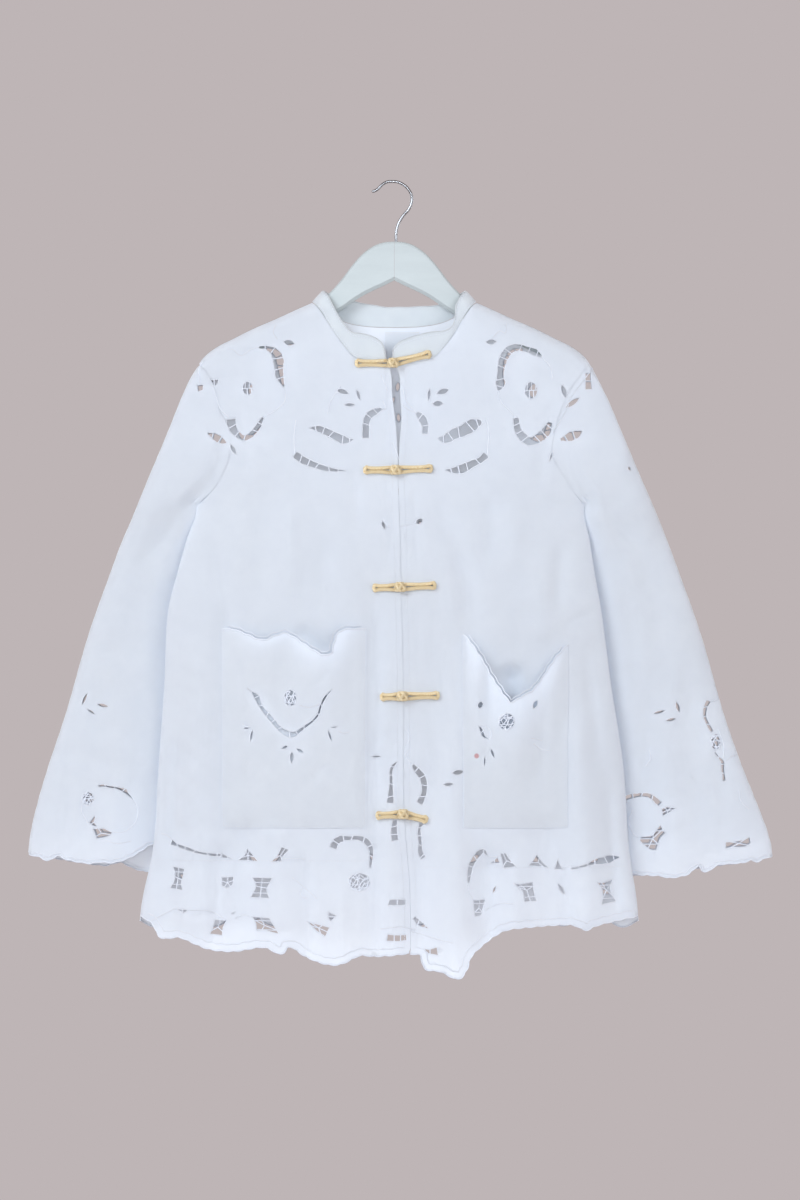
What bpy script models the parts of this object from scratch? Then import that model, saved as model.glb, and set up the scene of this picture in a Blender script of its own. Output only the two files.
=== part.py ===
"""A white cutwork jacket, sewn from a tablecloth, hung on a wooden hanger with a wire hook.

Sizes are in millimetres: across runs to the viewer's right, down runs down from the point
where the hook rests, and depth runs away from the viewer. Left and right are as seen from the
front. The solids are made in metres with +Z up, and the front faces -Y.
"""

import math

import bpy
from mathutils import Vector
from mathutils.bvhtree import BVHTree
from mathutils.geometry import delaunay_2d_cdt

METRE = 0.001

# Cloth and cord
WALL = 1.5
SEAM_GAP = 0.3
UNDERARM_GAP = 1.1
FRONT_SIDE = -1
BACK_SIDE = 1
GARMENT_MIDDLE = 4.0

# Spacing of the grid of points in each kind of panel: across, down
BODY_GRID = (19.0, 52.0)
BACK_GRID = (26.0, 62.0)
SLEEVE_GRID = (19.0, 56.0)
POCKET_GRID = (19.0, 34.0)
TOP_ROWS = (1.4, 4.5, 9.5)
TOP_ROUND = 12.0

# Hanger and hook
HANGER_THICK = 12.0
HANGER_MIDDLE = 4.0
HOOK_RADIUS = 24.0
WIRE_RADIUS = 1.8
HOOK_CENTRE_DOWN = HOOK_RADIUS - WIRE_RADIUS
STEM_ACROSS = 6.0

# Columns: distance from the middle, down. Top line of the shoulders and of the sleeve heads.
SHOULDER_LINE = (
    (0, 98), (60, 125), (98, 145), (114, 152), (140, 164), (168, 176), (192, 188), (215, 200),
    (229, 212), (237, 224), (244, 236), (250, 248), (255, 260), (265, 284), (274, 308), (284, 332),
)
# Columns: down, left edge, right edge, half depth, depth of the side edge
BODY_SECTIONS = (
    (120, -300, 304, 14, 0),
    (220, -290, 296, 15, 0),
    (300, -266, 272, 17, 0),
    (350, -247, 250, 20, 0),
    (388, -232, 231, 23, -1),
    (430, -244, 237, 25, -5),
    (470, -255, 243, 27, -8),
    (510, -265, 250, 29, -10),
    (600, -270, 262, 33, -10),
    (700, -277, 277, 37, -10),
    (800, -284, 284, 40, -10),
    (870, -298, 294, 41, -10),
    (960, -301, 297, 41, -10),
)
# Columns: down, left seam, right seam
ARMHOLE = (
    (218, -229, 237), (230, -219, 228), (250, -210, 214), (272, -206, 204), (296, -194, 197),
    (326, -193, 193), (350, -202, 206), (370, -214, 218), (388, -232, 231),
)
# Columns: down, outer edge, inner edge, half depth, depth of the middle
LEFT_SLEEVE = (
    (218, -229, -150, 8, 0),
    (236, -240, -150, 9, 0),
    (260, -251, -150, 10, 0),
    (300, -267, -152, 12, 0),
    (350, -288, -184, 14, 0),
    (389, -304, -236, 15, 1),
    (430, -322, -244, 15, 7),
    (470, -337, -250, 15, 12),
    (540, -362, -254, 16, 17),
    (640, -391, -256, 17, 18),
    (700, -411, -258, 18, 18),
    (740, -423, -261, 18, 18),
    (790, -434, -266, 18, 18),
    (840, -436, -272, 18, 18),
)
RIGHT_SLEEVE = (
    (218, 238, 158, 8, 0),
    (236, 247, 158, 9, 0),
    (260, 259, 158, 10, 0),
    (300, 276, 160, 12, 0),
    (350, 297, 188, 14, 0),
    (389, 314, 235, 15, 1),
    (430, 331, 236, 15, 7),
    (470, 346, 238, 15, 12),
    (540, 371, 240, 16, 17),
    (640, 400, 248, 17, 18),
    (700, 421, 257, 18, 18),
    (740, 437, 261, 18, 18),
    (790, 455, 263, 18, 18),
    (840, 461, 268, 18, 18),
)
# Columns: down, edge of the left front, edge of the right front
OPENING = (
    (218, -4, 3), (226, -1, 9), (254, 1, 11.5), (285, 4.5, 13), (315, 7, 10.5), (332, 7.8, 10.2),
    (356, 8, 9.5), (416, 10.2, 11.6), (500, 12, 13.4), (608, 14.4, 15.8), (755, 15, 16.4),
    (800, 18, 19.4), (850, 21.5, 22.9), (960, 22, 23.4),
)
# Columns: distance from the middle, down
NECK_FRONT = ((12, 217), (18, 216), (34, 213), (48, 209.5), (59, 198), (68, 186), (76, 174), (84, 161), (91, 151))
NECK_BACK = ((0, 173), (30, 172), (55, 168), (74, 160), (87, 152))
NECK_SHOULDER = (98, 145)
# Columns: across, down. The hem of the front, from the left side to the right side.
HEM_LEFT = (
    (-298, 878), (-284, 887), (-274, 903), (-252, 902), (-234, 909), (-215, 916), (-187, 918),
    (-151, 913), (-131, 921), (-120, 912), (-98, 926), (-66, 934), (-38, 923), (-17, 924), (21, 920),
)
HEM_RIGHT = (
    (22.5, 922), (35, 922), (41, 939), (60, 942), (80, 950), (90, 938), (96, 922), (121, 902),
    (140, 892), (170, 889), (216, 887), (232, 893), (247, 887), (294, 878),
)
BACK_HEM_DOWN = 884
BACK_SCALLOP = (36, 9)  # width, drop
# Columns: across, down, from the outer edge to the inner one
LEFT_CUFF_FRONT = ((-422, 806), (-412, 812), (-401, 807), (-380, 812), (-350, 815), (-322, 813), (-296, 818))
LEFT_CUFF_BACK = ((-420, 807), (-400, 812), (-375, 816), (-345, 823), (-310, 829), (-290, 834))
LEFT_CUFF_ENDS = (806, 832)  # outer, inner
RIGHT_CUFF_FRONT = ((441, 811), (425, 814), (396, 818), (380, 825), (366, 820), (350, 829), (332, 832), (300, 829))
RIGHT_CUFF_BACK = ((438, 812), (410, 818), (380, 821), (350, 826), (318, 828), (290, 832))
RIGHT_CUFF_ENDS = (809, 830)

# Largest folds of the front. Columns: route of (across, down), half width, height, runs out at the hem.
# A height above zero stands proud and one below zero is a trough.
FRONT_FOLDS = (
    (((-152, 332), (-152, 524)), 18, -5, False),
    (((-79, 410), (-82, 520)), 15, -4, False),
    (((-182, 540), (-176, 700), (-178, 880)), 22, -8, True),
    (((-226, 480), (-228, 700), (-232, 880)), 22, 7, True),
    (((-148, 560), (-140, 700), (-132, 930)), 18, 5, True),
    (((-19, 430), (-20, 700), (-16, 930)), 14, -7, True),
    (((-4, 700), (0, 930)), 13, 4, True),
    (((46, 360), (89, 472), (107, 560)), 14, -6, False),
    (((118, 360), (119, 470)), 14, -5, False),
    (((52, 500), (50, 790)), 14, -4, False),
    (((34, 770), (36, 940)), 15, -7, True),
    (((76, 640), (76, 945)), 16, 8, True),
    (((112, 790), (118, 900)), 15, -8, True),
    (((176, 430), (182, 560)), 20, 5, False),
    (((218, 600), (236, 880)), 20, 7, True),
    (((180, 640), (186, 880)), 18, -4, True),
)
BACK_FOLDS = (
    (((-185, 420), (-196, 890)), 26, -7, True),
    (((-105, 360), (-118, 890)), 28, 6, True),
    (((-30, 420), (-34, 890)), 24, -6, True),
    (((52, 330), (60, 890)), 28, 5, True),
    (((128, 440), (138, 890)), 24, -8, True),
    (((200, 480), (214, 890)), 26, 6, True),
)
SLEEVE_FOLDS = (
    (((-246, 330), (-300, 470), (-318, 600)), 18, -3.5, False),
    (((-330, 520), (-352, 700), (-372, 830)), 20, -3.5, True),
    (((-296, 560), (-306, 830)), 18, -3, True),
)

# Patch pockets. Columns of mouth: across, down, from left to right. Bulge: across, down, height,
# half width, run down.
POCKETS = {
    "pocket_left": {
        "left": -202,
        "right": -30,
        "bottom": 772,
        "mouth": (
            (-202, 536), (-186, 537), (-169, 543), (-152, 549), (-135, 543), (-122, 542),
            (-91, 561), (-78, 567), (-70, 564), (-66, 548), (-58, 537), (-30, 535),
        ),
        "bulges": ((-80, 566, 11, 26, 60), (-152, 548, 6, 20, 50)),
    },
    "pocket_right": {
        "left": 85,
        "right": 211,
        "bottom": 772,
        "mouth": (
            (85, 541), (98, 553), (113, 578), (127, 605), (139, 622), (150, 623), (166, 612),
            (180, 591), (193, 570), (211, 554),
        ),
        "bulges": ((148, 618, 25, 34, 60), (148, 560, 10, 50, 130)),
    },
}
POCKET_SLACK = 2.4
POCKET_EDGE_RUN = 16.0

# Upper edge of the collar over each row of the neck seam. Columns: across, down, depth. The left
# front from its corner to the shoulder, the back from left to right, the right front from its corner.
COLLAR_LEFT = (
    (-5, 212, -16.5), (-8, 199, -16.5), (-14, 190.5, -16.5), (-24, 185, -16.5), (-38, 181.5, -16.5),
    (-48, 178.5, -16.5), (-58, 167.5, -16), (-66, 155, -15.5), (-73, 141, -13), (-78, 133.5, -9),
)
COLLAR_LEFT_FOLD = (-81, 130, 0)
COLLAR_BACK = (
    (-76, 132, 9), (-62, 138, 13), (-43, 142, 14), (-20, 146, 14.5), (4, 149, 14.5),
    (28, 148, 14.5), (52, 146, 14), (70, 141, 13), (83, 133.5, 9),
)
COLLAR_RIGHT_FOLD = (88.5, 131, 0)
COLLAR_RIGHT = (
    (2, 203, -16.5), (9, 193, -16.5), (21, 187, -16.5), (34, 183, -16.5), (50, 179, -16.5),
    (64, 178.5, -17), (73, 173, -16.5), (76.5, 161, -15.5), (78, 148, -13), (84, 136, -9),
)
COLLAR_WALL = 2.0
COLLAR_GAP = 0.9

# Bare label inside the back of the neck: left, right, top, bottom, thickness
LABEL = (-7, 34, 178, 212, 0.8)

# Columns: across, top, bottom of one hanger arm, as distances from the middle
HANGER_ARM = (
    (0.15, 70, 112), (12, 71, 117), (24, 75, 122), (37, 84, 129), (50, 98, 138), (62, 114, 148),
    (76, 130, 158), (92, 144, 167), (112, 155.5, 177), (140, 166, 190), (168, 178, 203),
    (192, 190, 214), (210, 201, 222), (218, 211, 220),
)
ARM_END_THICK = 5.0

# Cord frogs. Columns: ball across, ball down, end of the left loop, end of the right loop
FROGS = (
    ((2.5, 217), (-42, 217), (47, 206)),
    ((5.5, 345), (-32, 345), (49, 343)),
    ((11, 485), (-21, 486), (53, 483)),
    ((13.5, 615), (-12, 616), (57, 614)),
    ((14.5, 755), (-17, 757), (43, 762)),
)
CORD_RADIUS = 2.3
CORD_SPREAD = (2.9, 2.6, 2.8, 4.6)  # half distance of the two cords, from the ball to the end
BALL_RADIUS = 6.5

# Cut leaves. Columns: across, down, length, width, turn in degrees (rising to the right above zero)
FRONT_LEAVES = (
    (-122, 193, 15, 7, -22), (-171, 247, 17, 13, 80), (-201, 243, 8, 8, 45), (-184, 322, 13, 6, 80),
    (121, 193, 14, 6, 14), (167, 250, 21, 15, 100), (201, 251, 12, 5, 110),
    (-58, 251, 18, 6, -18), (-39, 255, 16, 5.5, -72), (-49, 267, 14, 5, 10),
    (46, 256, 16, 5.5, 82), (62, 250, 17, 7, 20), (56, 265, 13, 5, -15),
    (-8, 411, 13, 6, 105), (32, 408, 14, 7, 45),
    (77, 705, 14, 7, 12), (67, 720, 14, 6, 4), (-18, 686, 13, 5, 2),
    (-248, 871, 14, 6, 0), (-185, 874, 11, 5.5, 30), (-30, 838, 9, 6, 20),
    (123, 847, 10, 5, 60), (203, 843, 15, 6, -60),
)
# Cut bands. Columns: width, route
FRONT_BANDS = (
    (8, ((-154, 198), (-142, 200), (-134, 209), (-133, 222), (-134, 235), (-128, 245))),
    (7, ((-185, 291), (-183, 301), (-175, 306), (-164, 300), (-156, 292), (-152, 282))),
    (7.5, ((132, 250), (131, 226), (134, 207), (143, 198), (155, 196), (168, 200), (178, 208))),
    (7, ((151, 284), (151, 301), (159, 311), (170, 314), (180, 309), (187, 295))),
    (6, ((-17, 274), (-26, 278), (-30, 289), (-31, 305))),
    (6, ((35, 277), (41, 287), (43, 302))),
    (6.5, ((-94, 292), (-71, 303), (-48, 313))),
    (7, ((-112, 328), (-96, 337), (-78, 343), (-58, 344))),
    (7, ((59, 311), (78, 302), (105, 288))),
    (7, ((67, 347), (87, 341), (112, 328))),
    (5.5, ((3, 694), (-0.5, 713), (-0.5, 738))),
    (5.5, ((4, 770), (5, 786))),
    (6, ((26, 697), (36, 708), (39, 722), (34, 742))),
    (6, ((29, 772), (32, 784), (36, 801))),
    (6, ((29, 875), (33, 884), (44, 891))),
    (4.8, ((-262, 786), (-248, 794), (-226, 801), (-208, 804))),
    (5.5, ((-66, 793), (-54, 786), (-40, 786), (-28, 793), (-24, 806), (-27, 822))),
    (6, ((90, 838), (93, 820), (101, 805), (113, 802))),
    (6, ((219, 820), (241, 817), (264, 807))),
)
# Cut blocks. Columns: across, down, width at the top, waist, width at the bottom, height, turn
FRONT_BLOCKS = (
    (7, 860, 20, 20, 20, 8.5, 0), (7, 901, 22, 22, 22, 9, 0), (47, 918, 17, 17, 17, 9, -12),
    (-193, 806, 12, 12, 12, 8, -8), (-168, 804, 4, 13, 25, 15, 0), (-132, 803, 7, 9, 12, 16, -20),
    (-252, 832, 17, 9, 17, 27, -16), (-195, 838, 14, 12, 8, 13, 0), (-151, 843, 26, 11, 24, 26, 0),
    (-206, 890, 19, 18, 16, 18, -12), (-151, 886, 15, 23, 14, 15, -24), (-87, 893, 17, 13, 7, 13, -20),
    (-70, 879, 12, 8, 5, 14, -8),
    (143, 810, 6, 9, 13, 16, 24), (176, 811, 5, 12, 24, 15, 0), (200, 813, 5, 8, 11, 13, 0),
    (105, 866, 16, 14, 12, 20, 0), (162, 846, 22, 15, 17, 23, 8), (258, 848, 17, 8, 18, 29, 4),
)
BACK_LEAVES = (
    (8, 244, 12, 5.5, 85), (2, 260, 9, 5, 60), (9, 281, 11, 5.5, 95), (-14, 262, 13, 6, 20), (26, 262, 13, 6, -20),
    (-165, 248, 18, 13, 90), (172, 249, 18, 13, 90), (-118, 196, 15, 7, -20), (124, 196, 15, 7, 20),
    (-52, 398, 18, 7, 25), (60, 398, 18, 7, -25), (4, 420, 20, 8, 90), (-30, 412, 16, 7, 55), (38, 412, 16, 7, 125),
)
BACK_BANDS = (
    (7.5, ((-150, 199), (-137, 204), (-132, 220), (-130, 242))),
    (7.5, ((158, 199), (145, 204), (139, 220), (137, 242))),
    (7, ((-182, 288), (-178, 303), (-165, 305), (-153, 290))),
    (7, ((190, 288), (186, 303), (173, 305), (161, 290))),
    (7, ((-44, 336), (-30, 360), (4, 370), (38, 360), (52, 336))),
)
BACK_BORDER_LEAVES = (24, 812, 15, 7)  # spacing, down, length, width of a row between the side seams
BACK_BORDER_BLOCKS = (62, 842, 20, 9, 20, 24)  # spacing, down, top width, waist, bottom width, height
BACK_BORDER_REACH = 250
POCKET_LEFT_LEAVES = (
    (-119, 618, 21, 17, 90), (-127, 676, 9, 5, 20), (-109, 680, 11, 5, -30), (-118, 688, 14, 6, 95),
    (-166, 665, 15, 5.5, 80), (-170, 652, 9, 4.5, 0), (-72, 662, 14, 5, 105),
)
POCKET_LEFT_BANDS = (
    (6, ((-170, 607), (-157, 622), (-140, 644), (-119, 661), (-101, 648), (-87, 634), (-85, 621), (-71, 608))),
)
POCKET_RIGHT_LEAVES = (
    (137, 652, 22, 18, 90), (108, 630, 9, 8, 30), (173, 634, 10, 5.5, 60), (120, 684, 14, 5, 100), (110, 694, 11, 4.6, 95),
)
POCKET_RIGHT_BANDS = ((5, ((104, 650), (107, 660), (117, 667))),)
LEFT_SLEEVE_LEAVES = (
    (-228, 249, 9, 8, 30), (-213, 306, 17, 8, 30), (-276, 343, 7, 6, 60),
    (-368, 619, 15, 6, 62), (-347, 626, 14, 6, 6), (-361, 636, 11, 5, -20), (-364, 740, 14, 16, 40),
)
LEFT_SLEEVE_BANDS = ((6, ((-352, 727), (-337, 721), (-320, 726), (-311, 739))),)
LEFT_SLEEVE_BLOCKS = ((-347, 773, 14, 24, 12, 22, 10),)
RIGHT_SLEEVE_LEAVES = (
    (220, 266, 17, 7, -45), (236, 248, 10, 9, 20), (219, 305, 19, 8, 30), (285, 343, 7, 6, 120),
    (321, 634, 13, 6, 10), (337, 643, 14, 6, -15), (343, 628, 14, 6, 112), (416, 789, 26, 9, 12),
)
RIGHT_SLEEVE_BANDS = (
    (6, ((292, 738), (305, 734), (320, 735), (334, 743), (341, 754))),
    (6, ((374, 626), (382, 640), (385, 658))),
    (6, ((387, 672), (389, 690), (390, 712))),
)
RIGHT_SLEEVE_BLOCKS = ((314, 786, 14, 23, 12, 23, -10),)

CLOTH_COLOUR = (0.76, 0.80, 0.88)
COLLAR_COLOUR = (0.78, 0.81, 0.87)
LABEL_COLOUR = (0.82, 0.82, 0.84)
CORD_COLOUR = (0.80, 0.58, 0.24)
WOOD_COLOUR = (0.68, 0.73, 0.76)
HOOK_COLOUR = (0.72, 0.73, 0.75)


def material_of(name, colour, roughness, metallic=0.0):
    """A plain finish."""
    material = bpy.data.materials.new(name)
    material.use_nodes = True
    shader = material.node_tree.nodes["Principled BSDF"]
    shader.inputs["Base Color"].default_value = (*colour, 1.0)
    shader.inputs["Roughness"].default_value = roughness
    shader.inputs["Metallic"].default_value = metallic
    material.diffuse_color = (*colour, 1.0)
    return material


def clamp(value, low=0.0, high=1.0):
    return max(low, min(high, value))


def ease(value):
    """0 to 1 with level ends."""
    value = clamp(value)
    return value * value * (3 - 2 * value)


def curve_through(rows, column=1):
    """A smooth function of a table's first column through one of its other columns."""
    at = [row[0] for row in rows]
    value = [row[column] for row in rows]
    steps = [(value[i + 1] - value[i]) / (at[i + 1] - at[i]) for i in range(len(at) - 1)]
    slope = [steps[0]] + [(a + b) / 2 for a, b in zip(steps, steps[1:])] + [steps[-1]]

    def read(where):
        if where <= at[0]:
            return value[0] + slope[0] * (where - at[0])
        if where >= at[-1]:
            return value[-1] + slope[-1] * (where - at[-1])
        i = next(k for k in range(len(at) - 1) if where <= at[k + 1])
        run = at[i + 1] - at[i]
        t = (where - at[i]) / run
        start = value[i] * (1 + 2 * t) * (1 - t) ** 2 + slope[i] * run * t * (1 - t) ** 2
        return start + value[i + 1] * t * t * (3 - 2 * t) + slope[i + 1] * run * t * t * (t - 1)

    return read


shoulder_line = curve_through(SHOULDER_LINE)
body_left, body_right, body_depth, body_side = (curve_through(BODY_SECTIONS, k) for k in (1, 2, 3, 4))
opening_left, opening_right = (curve_through(OPENING, k) for k in (1, 2))


def shoulder_down(across):
    return shoulder_line(abs(across - GARMENT_MIDDLE))


def along(route, across, down):
    """Distance from a point to a route of straight runs, and the share of its length to there."""
    best = (1e9, 0.0)
    lengths = [math.dist(a, b) for a, b in zip(route, route[1:])]
    done = 0.0
    for (ax, ad), (bx, bd), length in zip(route, route[1:], lengths):
        t = clamp(((across - ax) * (bx - ax) + (down - ad) * (bd - ad)) / length**2)
        gap = math.hypot(across - ax - t * (bx - ax), down - ad - t * (bd - ad))
        best = min(best, (gap, (done + t * length) / sum(lengths)))
        done += length
    return best


def fold_height(folds, across, down):
    """How far the largest folds lift the cloth here."""
    height = 0.0
    for route, half_width, lift, to_hem in folds:
        gap, share = along(route, across, down)
        if gap > 3 * half_width:
            continue
        ends = ease(share / 0.3) * (1.0 if to_hem else ease((1 - share) / 0.3))
        height += lift * ends * math.exp(-((gap / half_width) ** 2))
    return height


def pocket_calm(across, down):
    """The share of a fold's height that is left: the doubled cloth of a pocket lies flatter."""
    share = 0.0
    for sizes in POCKETS.values():
        top = max(sizes["mouth"][0][1], sizes["mouth"][-1][1])
        edge = min(across - sizes["left"], sizes["right"] - across, sizes["bottom"] - down, down - top)
        share = max(share, ease((edge + 14) / 28))
    return 1 - 0.7 * share


def top_round(across, down):
    """0 on the top line of the shoulders, 1 from TOP_ROUND below it."""
    fall = clamp((down - shoulder_down(across)) / TOP_ROUND)
    return math.sqrt(max(0.0, 1 - (1 - fall) ** 2))


class Body:
    """One side of the body, front or back. u runs from -1 at the left side seam to 1 at the right."""

    scale = 230.0
    hand = -1

    def __init__(self, side):
        self.side = side
        self.folds = FRONT_FOLDS if side == FRONT_SIDE else BACK_FOLDS

    def to_u(self, across, down):
        left, right = body_left(down), body_right(down)
        return math.asin(clamp((2 * across - left - right) / (right - left), -1, 1)) * 2 / math.pi

    def depth(self, across, down, u=None):
        u = self.to_u(across, down) if u is None else u
        round_off = math.cos(u * math.pi / 2)
        out = body_depth(down) * round_off * top_round(across, down)
        fold = fold_height(self.folds, across, down) * ease(abs(round_off) / 0.4)
        if self.side == FRONT_SIDE:
            fold *= pocket_calm(across, down)
        return body_side(down) + self.side * (SEAM_GAP / 2 + out + fold)

    def at(self, u, down):
        left, right = body_left(down), body_right(down)
        across = (left + right) / 2 + (right - left) / 2 * math.sin(u * math.pi / 2)
        return Vector((across, self.depth(across, down, u), -down))


class Sleeve:
    """One side of a sleeve. u runs from -1 at its outer edge to 1 at its inner edge."""

    scale = 66.0

    def __init__(self, hand, side):
        self.hand, self.side = hand, side
        rows = LEFT_SLEEVE if hand < 0 else RIGHT_SLEEVE
        self.outer, self.inner, self.half_depth, self.middle = (curve_through(rows, k) for k in (1, 2, 3, 4))
        self.seam = [(row[1 if hand < 0 else 2], row[0]) for row in ARMHOLE]
        self.body = Body(side)
        self.folds = [
            ([(x if hand < 0 else 8 - x, d) for x, d in route], width, lift, to_hem)
            for route, width, lift, to_hem in SLEEVE_FOLDS
        ]

    def to_u(self, across, down):
        outer, inner = self.outer(down), self.inner(down)
        return math.asin(clamp((2 * across - outer - inner) / (inner - outer), -1, 1)) * 2 / math.pi

    def at(self, u, down):
        outer, inner = self.outer(down), self.inner(down)
        across = (outer + inner) / 2 + (inner - outer) / 2 * math.sin(u * math.pi / 2)
        round_off = math.cos(u * math.pi / 2)
        fold = fold_height(self.folds, across, down) * ease(abs(round_off) / 0.4)
        own = self.middle(down) + self.side * (SEAM_GAP / 2 + self.half_depth(down) * round_off + fold)
        share = ease(1 - (along(self.seam, across, down)[0] - 2) / 24)
        if share > 0:
            joined = self.body.depth(across, down) - body_side(down) - self.side * SEAM_GAP / 2
            joined = body_side(down) + self.side * SEAM_GAP / 2 + joined * min(1.0, 3 * abs(round_off))
            own += share * (joined - own)
        return Vector((across, own, -down))


class Pocket:
    """A patch pocket: the front's own outer surface moved out, slack at the mouth."""

    scale = 1.0
    side = FRONT_SIDE
    hand = -1

    def __init__(self, name):
        self.sizes = POCKETS[name]
        self.front = Body(FRONT_SIDE)

    def to_u(self, across, down):
        return across

    def lift(self, across, down):
        sizes = self.sizes
        edge = min(across - sizes["left"], sizes["right"] - across, sizes["bottom"] - down)
        slack = POCKET_SLACK
        for at_across, at_down, height, half_width, run in sizes["bulges"]:
            fall = max(0.0, down - at_down) / run
            slack += height * math.exp(-(((across - at_across) / half_width) ** 2) - fall**2)
        return slack * ease(edge / POCKET_EDGE_RUN)

    def at(self, across, down):
        u = self.front.to_u(across, down)
        base, out = surface_point(self.front, u, down)
        return base + out * (WALL + SEAM_GAP + self.lift(across, down))


def surface_point(surface, u, down):
    """A point of the inner face and the direction out of the cloth there."""
    step_u, step_down = 0.4 / surface.scale, 0.4
    point = surface.at(u, down)
    over = surface.at(u + step_u, down) - surface.at(u - step_u, down)
    fall = surface.at(u, down + step_down) - surface.at(u, down - step_down)
    out = over.cross(fall).normalized()
    return point, out * surface.side * -surface.hand


def inside(polygon, x, y):
    """Whether a point lies within an outline."""
    found = False
    for (ax, ay), (bx, by) in zip(polygon, polygon[1:] + polygon[:1]):
        if (ay > y) != (by > y) and x < (bx - ax) * (y - ay) / (by - ay) + ax:
            found = not found
    return found


def leaf_outline(across, down, length, width, turn):
    """A pointed leaf, or a rounder opening where it is nearly as wide as long."""
    shares = (-1, -0.45, 0.45, 1) if width < 0.6 * length else (-1, -0.6, 0.6, 1)
    bow = {0.45: 0.8, 0.6: 0.86}
    upper = [(s * length / 2, width / 2 * bow.get(abs(s), 0)) for s in shares]
    lower = [(s * length / 2, -width / 2 * bow.get(abs(s), 0)) for s in reversed(shares[1:-1])]
    return turned_outline(upper + lower, across, down, turn)


def block_outline(across, down, top, waist, bottom, height, turn):
    """A four-sided opening, or one with a narrow or wide waist."""
    shape = [(-top / 2, -height / 2), (top / 2, -height / 2)]
    straight = abs(waist - (top + bottom) / 2) < 1
    if not straight:
        shape.append((waist / 2, 0))
    shape += [(bottom / 2, height / 2), (-bottom / 2, height / 2)]
    if not straight:
        shape.append((-waist / 2, 0))
    return turned_outline(shape, across, down, turn)


def turned_outline(shape, across, down, turn):
    c, s = math.cos(math.radians(turn)), math.sin(math.radians(turn))
    return [(across + x * c + y * s, down - x * s + y * c) for x, y in shape]


def band_outline(width, route):
    """A band along a route, with its ends cut square."""
    left, right = [], []
    for i, (x, d) in enumerate(route):
        (ax, ad), (bx, bd) = route[max(0, i - 1)], route[min(len(route) - 1, i + 1)]
        length = math.hypot(bx - ax, bd - ad)
        nx, nd = (bd - ad) / length * width / 2, -(bx - ax) / length * width / 2
        left.append((x + nx, d + nd))
        right.append((x - nx, d - nd))
    return left + right[::-1]


def openings_of(leaves=(), bands=(), blocks=()):
    found = [leaf_outline(*row) for row in leaves]
    found += [band_outline(*row) for row in bands]
    return found + [block_outline(*row) for row in blocks]


def flat_pattern(surface, outline, holes, grid, extra=(), creases=()):
    """The panel's points and triangles in its own flat frame of u and down."""
    scale = surface.scale
    loops = [[(surface.to_u(x, d) * scale, d) for x, d in loop] for loop in (outline, *holes)]
    points, edges = [], []
    for loop in loops:
        start = len(points)
        points += loop
        edges += [(start + i, start + (i + 1) % len(loop)) for i in range(len(loop))]
    for line in creases:
        start = len(points)
        points += [(surface.to_u(x, d) * scale, d) for x, d in line]
        edges += [(start + i, start + i + 1) for i in range(len(line) - 1)]
    fixed_edges = [(points[a], points[b]) for a, b in edges]
    points += [(surface.to_u(x, d) * scale, d) for x, d in extra]
    held = points[:]
    across, down = [p[0] for p in loops[0]], [p[1] for p in loops[0]]
    columns = max(1, round((max(across) - min(across)) / grid[0]))
    rows = max(1, round((max(down) - min(down)) / grid[1]))
    for i in range(columns + 1):
        x = min(across) + (max(across) - min(across)) * i / columns
        for j in range(1, rows):
            d = min(down) + (max(down) - min(down)) * j / rows
            if not inside(loops[0], x, d) or any(inside(loop, x, d) for loop in loops[1:]):
                continue
            if min(math.hypot(px - x, (pd - d) * 0.6) for px, pd in held) < 0.42 * grid[0]:
                continue
            if min(along(edge, x, d)[0] for edge in fixed_edges if edge[0] != edge[1]) < 0.3 * grid[0]:
                continue
            points.append((x, d))
    made = delaunay_2d_cdt([Vector(p) for p in points], edges, [], 0, 1e-5)
    flat = [(v.x, v.y) for v in made[0]]
    triangles = []
    for face in made[2]:
        x = sum(flat[k][0] for k in face) / 3
        d = sum(flat[k][1] for k in face) / 3
        if inside(loops[0], x, d) and not any(inside(loop, x, d) for loop in loops[1:]):
            triangles.append(tuple(face))
    used = sorted({k for face in triangles for k in face})
    number = {k: i for i, k in enumerate(used)}
    return [flat[k] for k in used], [tuple(number[k] for k in face) for face in triangles]


def walled(name, inner, outer, triangles, material):
    """A closed solid from two like sheets of points, joined round every edge."""
    count = len(inner)
    a, b, c = (outer[k] for k in triangles[0])
    out = outer[triangles[0][0]] - inner[triangles[0][0]]
    if (b - a).cross(c - a).dot(out) < 0:
        triangles = [(p, r, q) for p, q, r in triangles]
    faces = [(p + count, q + count, r + count) for p, q, r in triangles]
    faces += [(p, r, q) for p, q, r in triangles]
    sides = {(p, q) for face in triangles for p, q in zip(face, face[1:] + face[:1])}
    faces += [(p, q, q + count, p + count) for p, q in sorted(sides) if (q, p) not in sides]
    mesh = bpy.data.meshes.new(name)
    mesh.from_pydata([v * METRE for v in inner + outer], [], faces)
    mesh.shade_smooth()
    mesh.set_sharp_from_angle(angle=math.radians(50))
    mesh.materials.append(material)
    made = bpy.data.objects.new(name, mesh)
    bpy.context.scene.collection.objects.link(made)
    return made


def cloth_panel(name, surface, outline, holes, grid, material, extra=(), creases=(), wall=WALL):
    """A panel of cloth: its flat pattern laid on its surface, with the cloth's thickness."""
    flat, triangles = flat_pattern(surface, outline, holes, grid, extra, creases)
    inner, outer = [], []
    for x, down in flat:
        point, out = surface_point(surface, x / surface.scale, down)
        inner.append(point)
        outer.append(point + out * wall)
    return walled(name, inner, outer, triangles, material)


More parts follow.
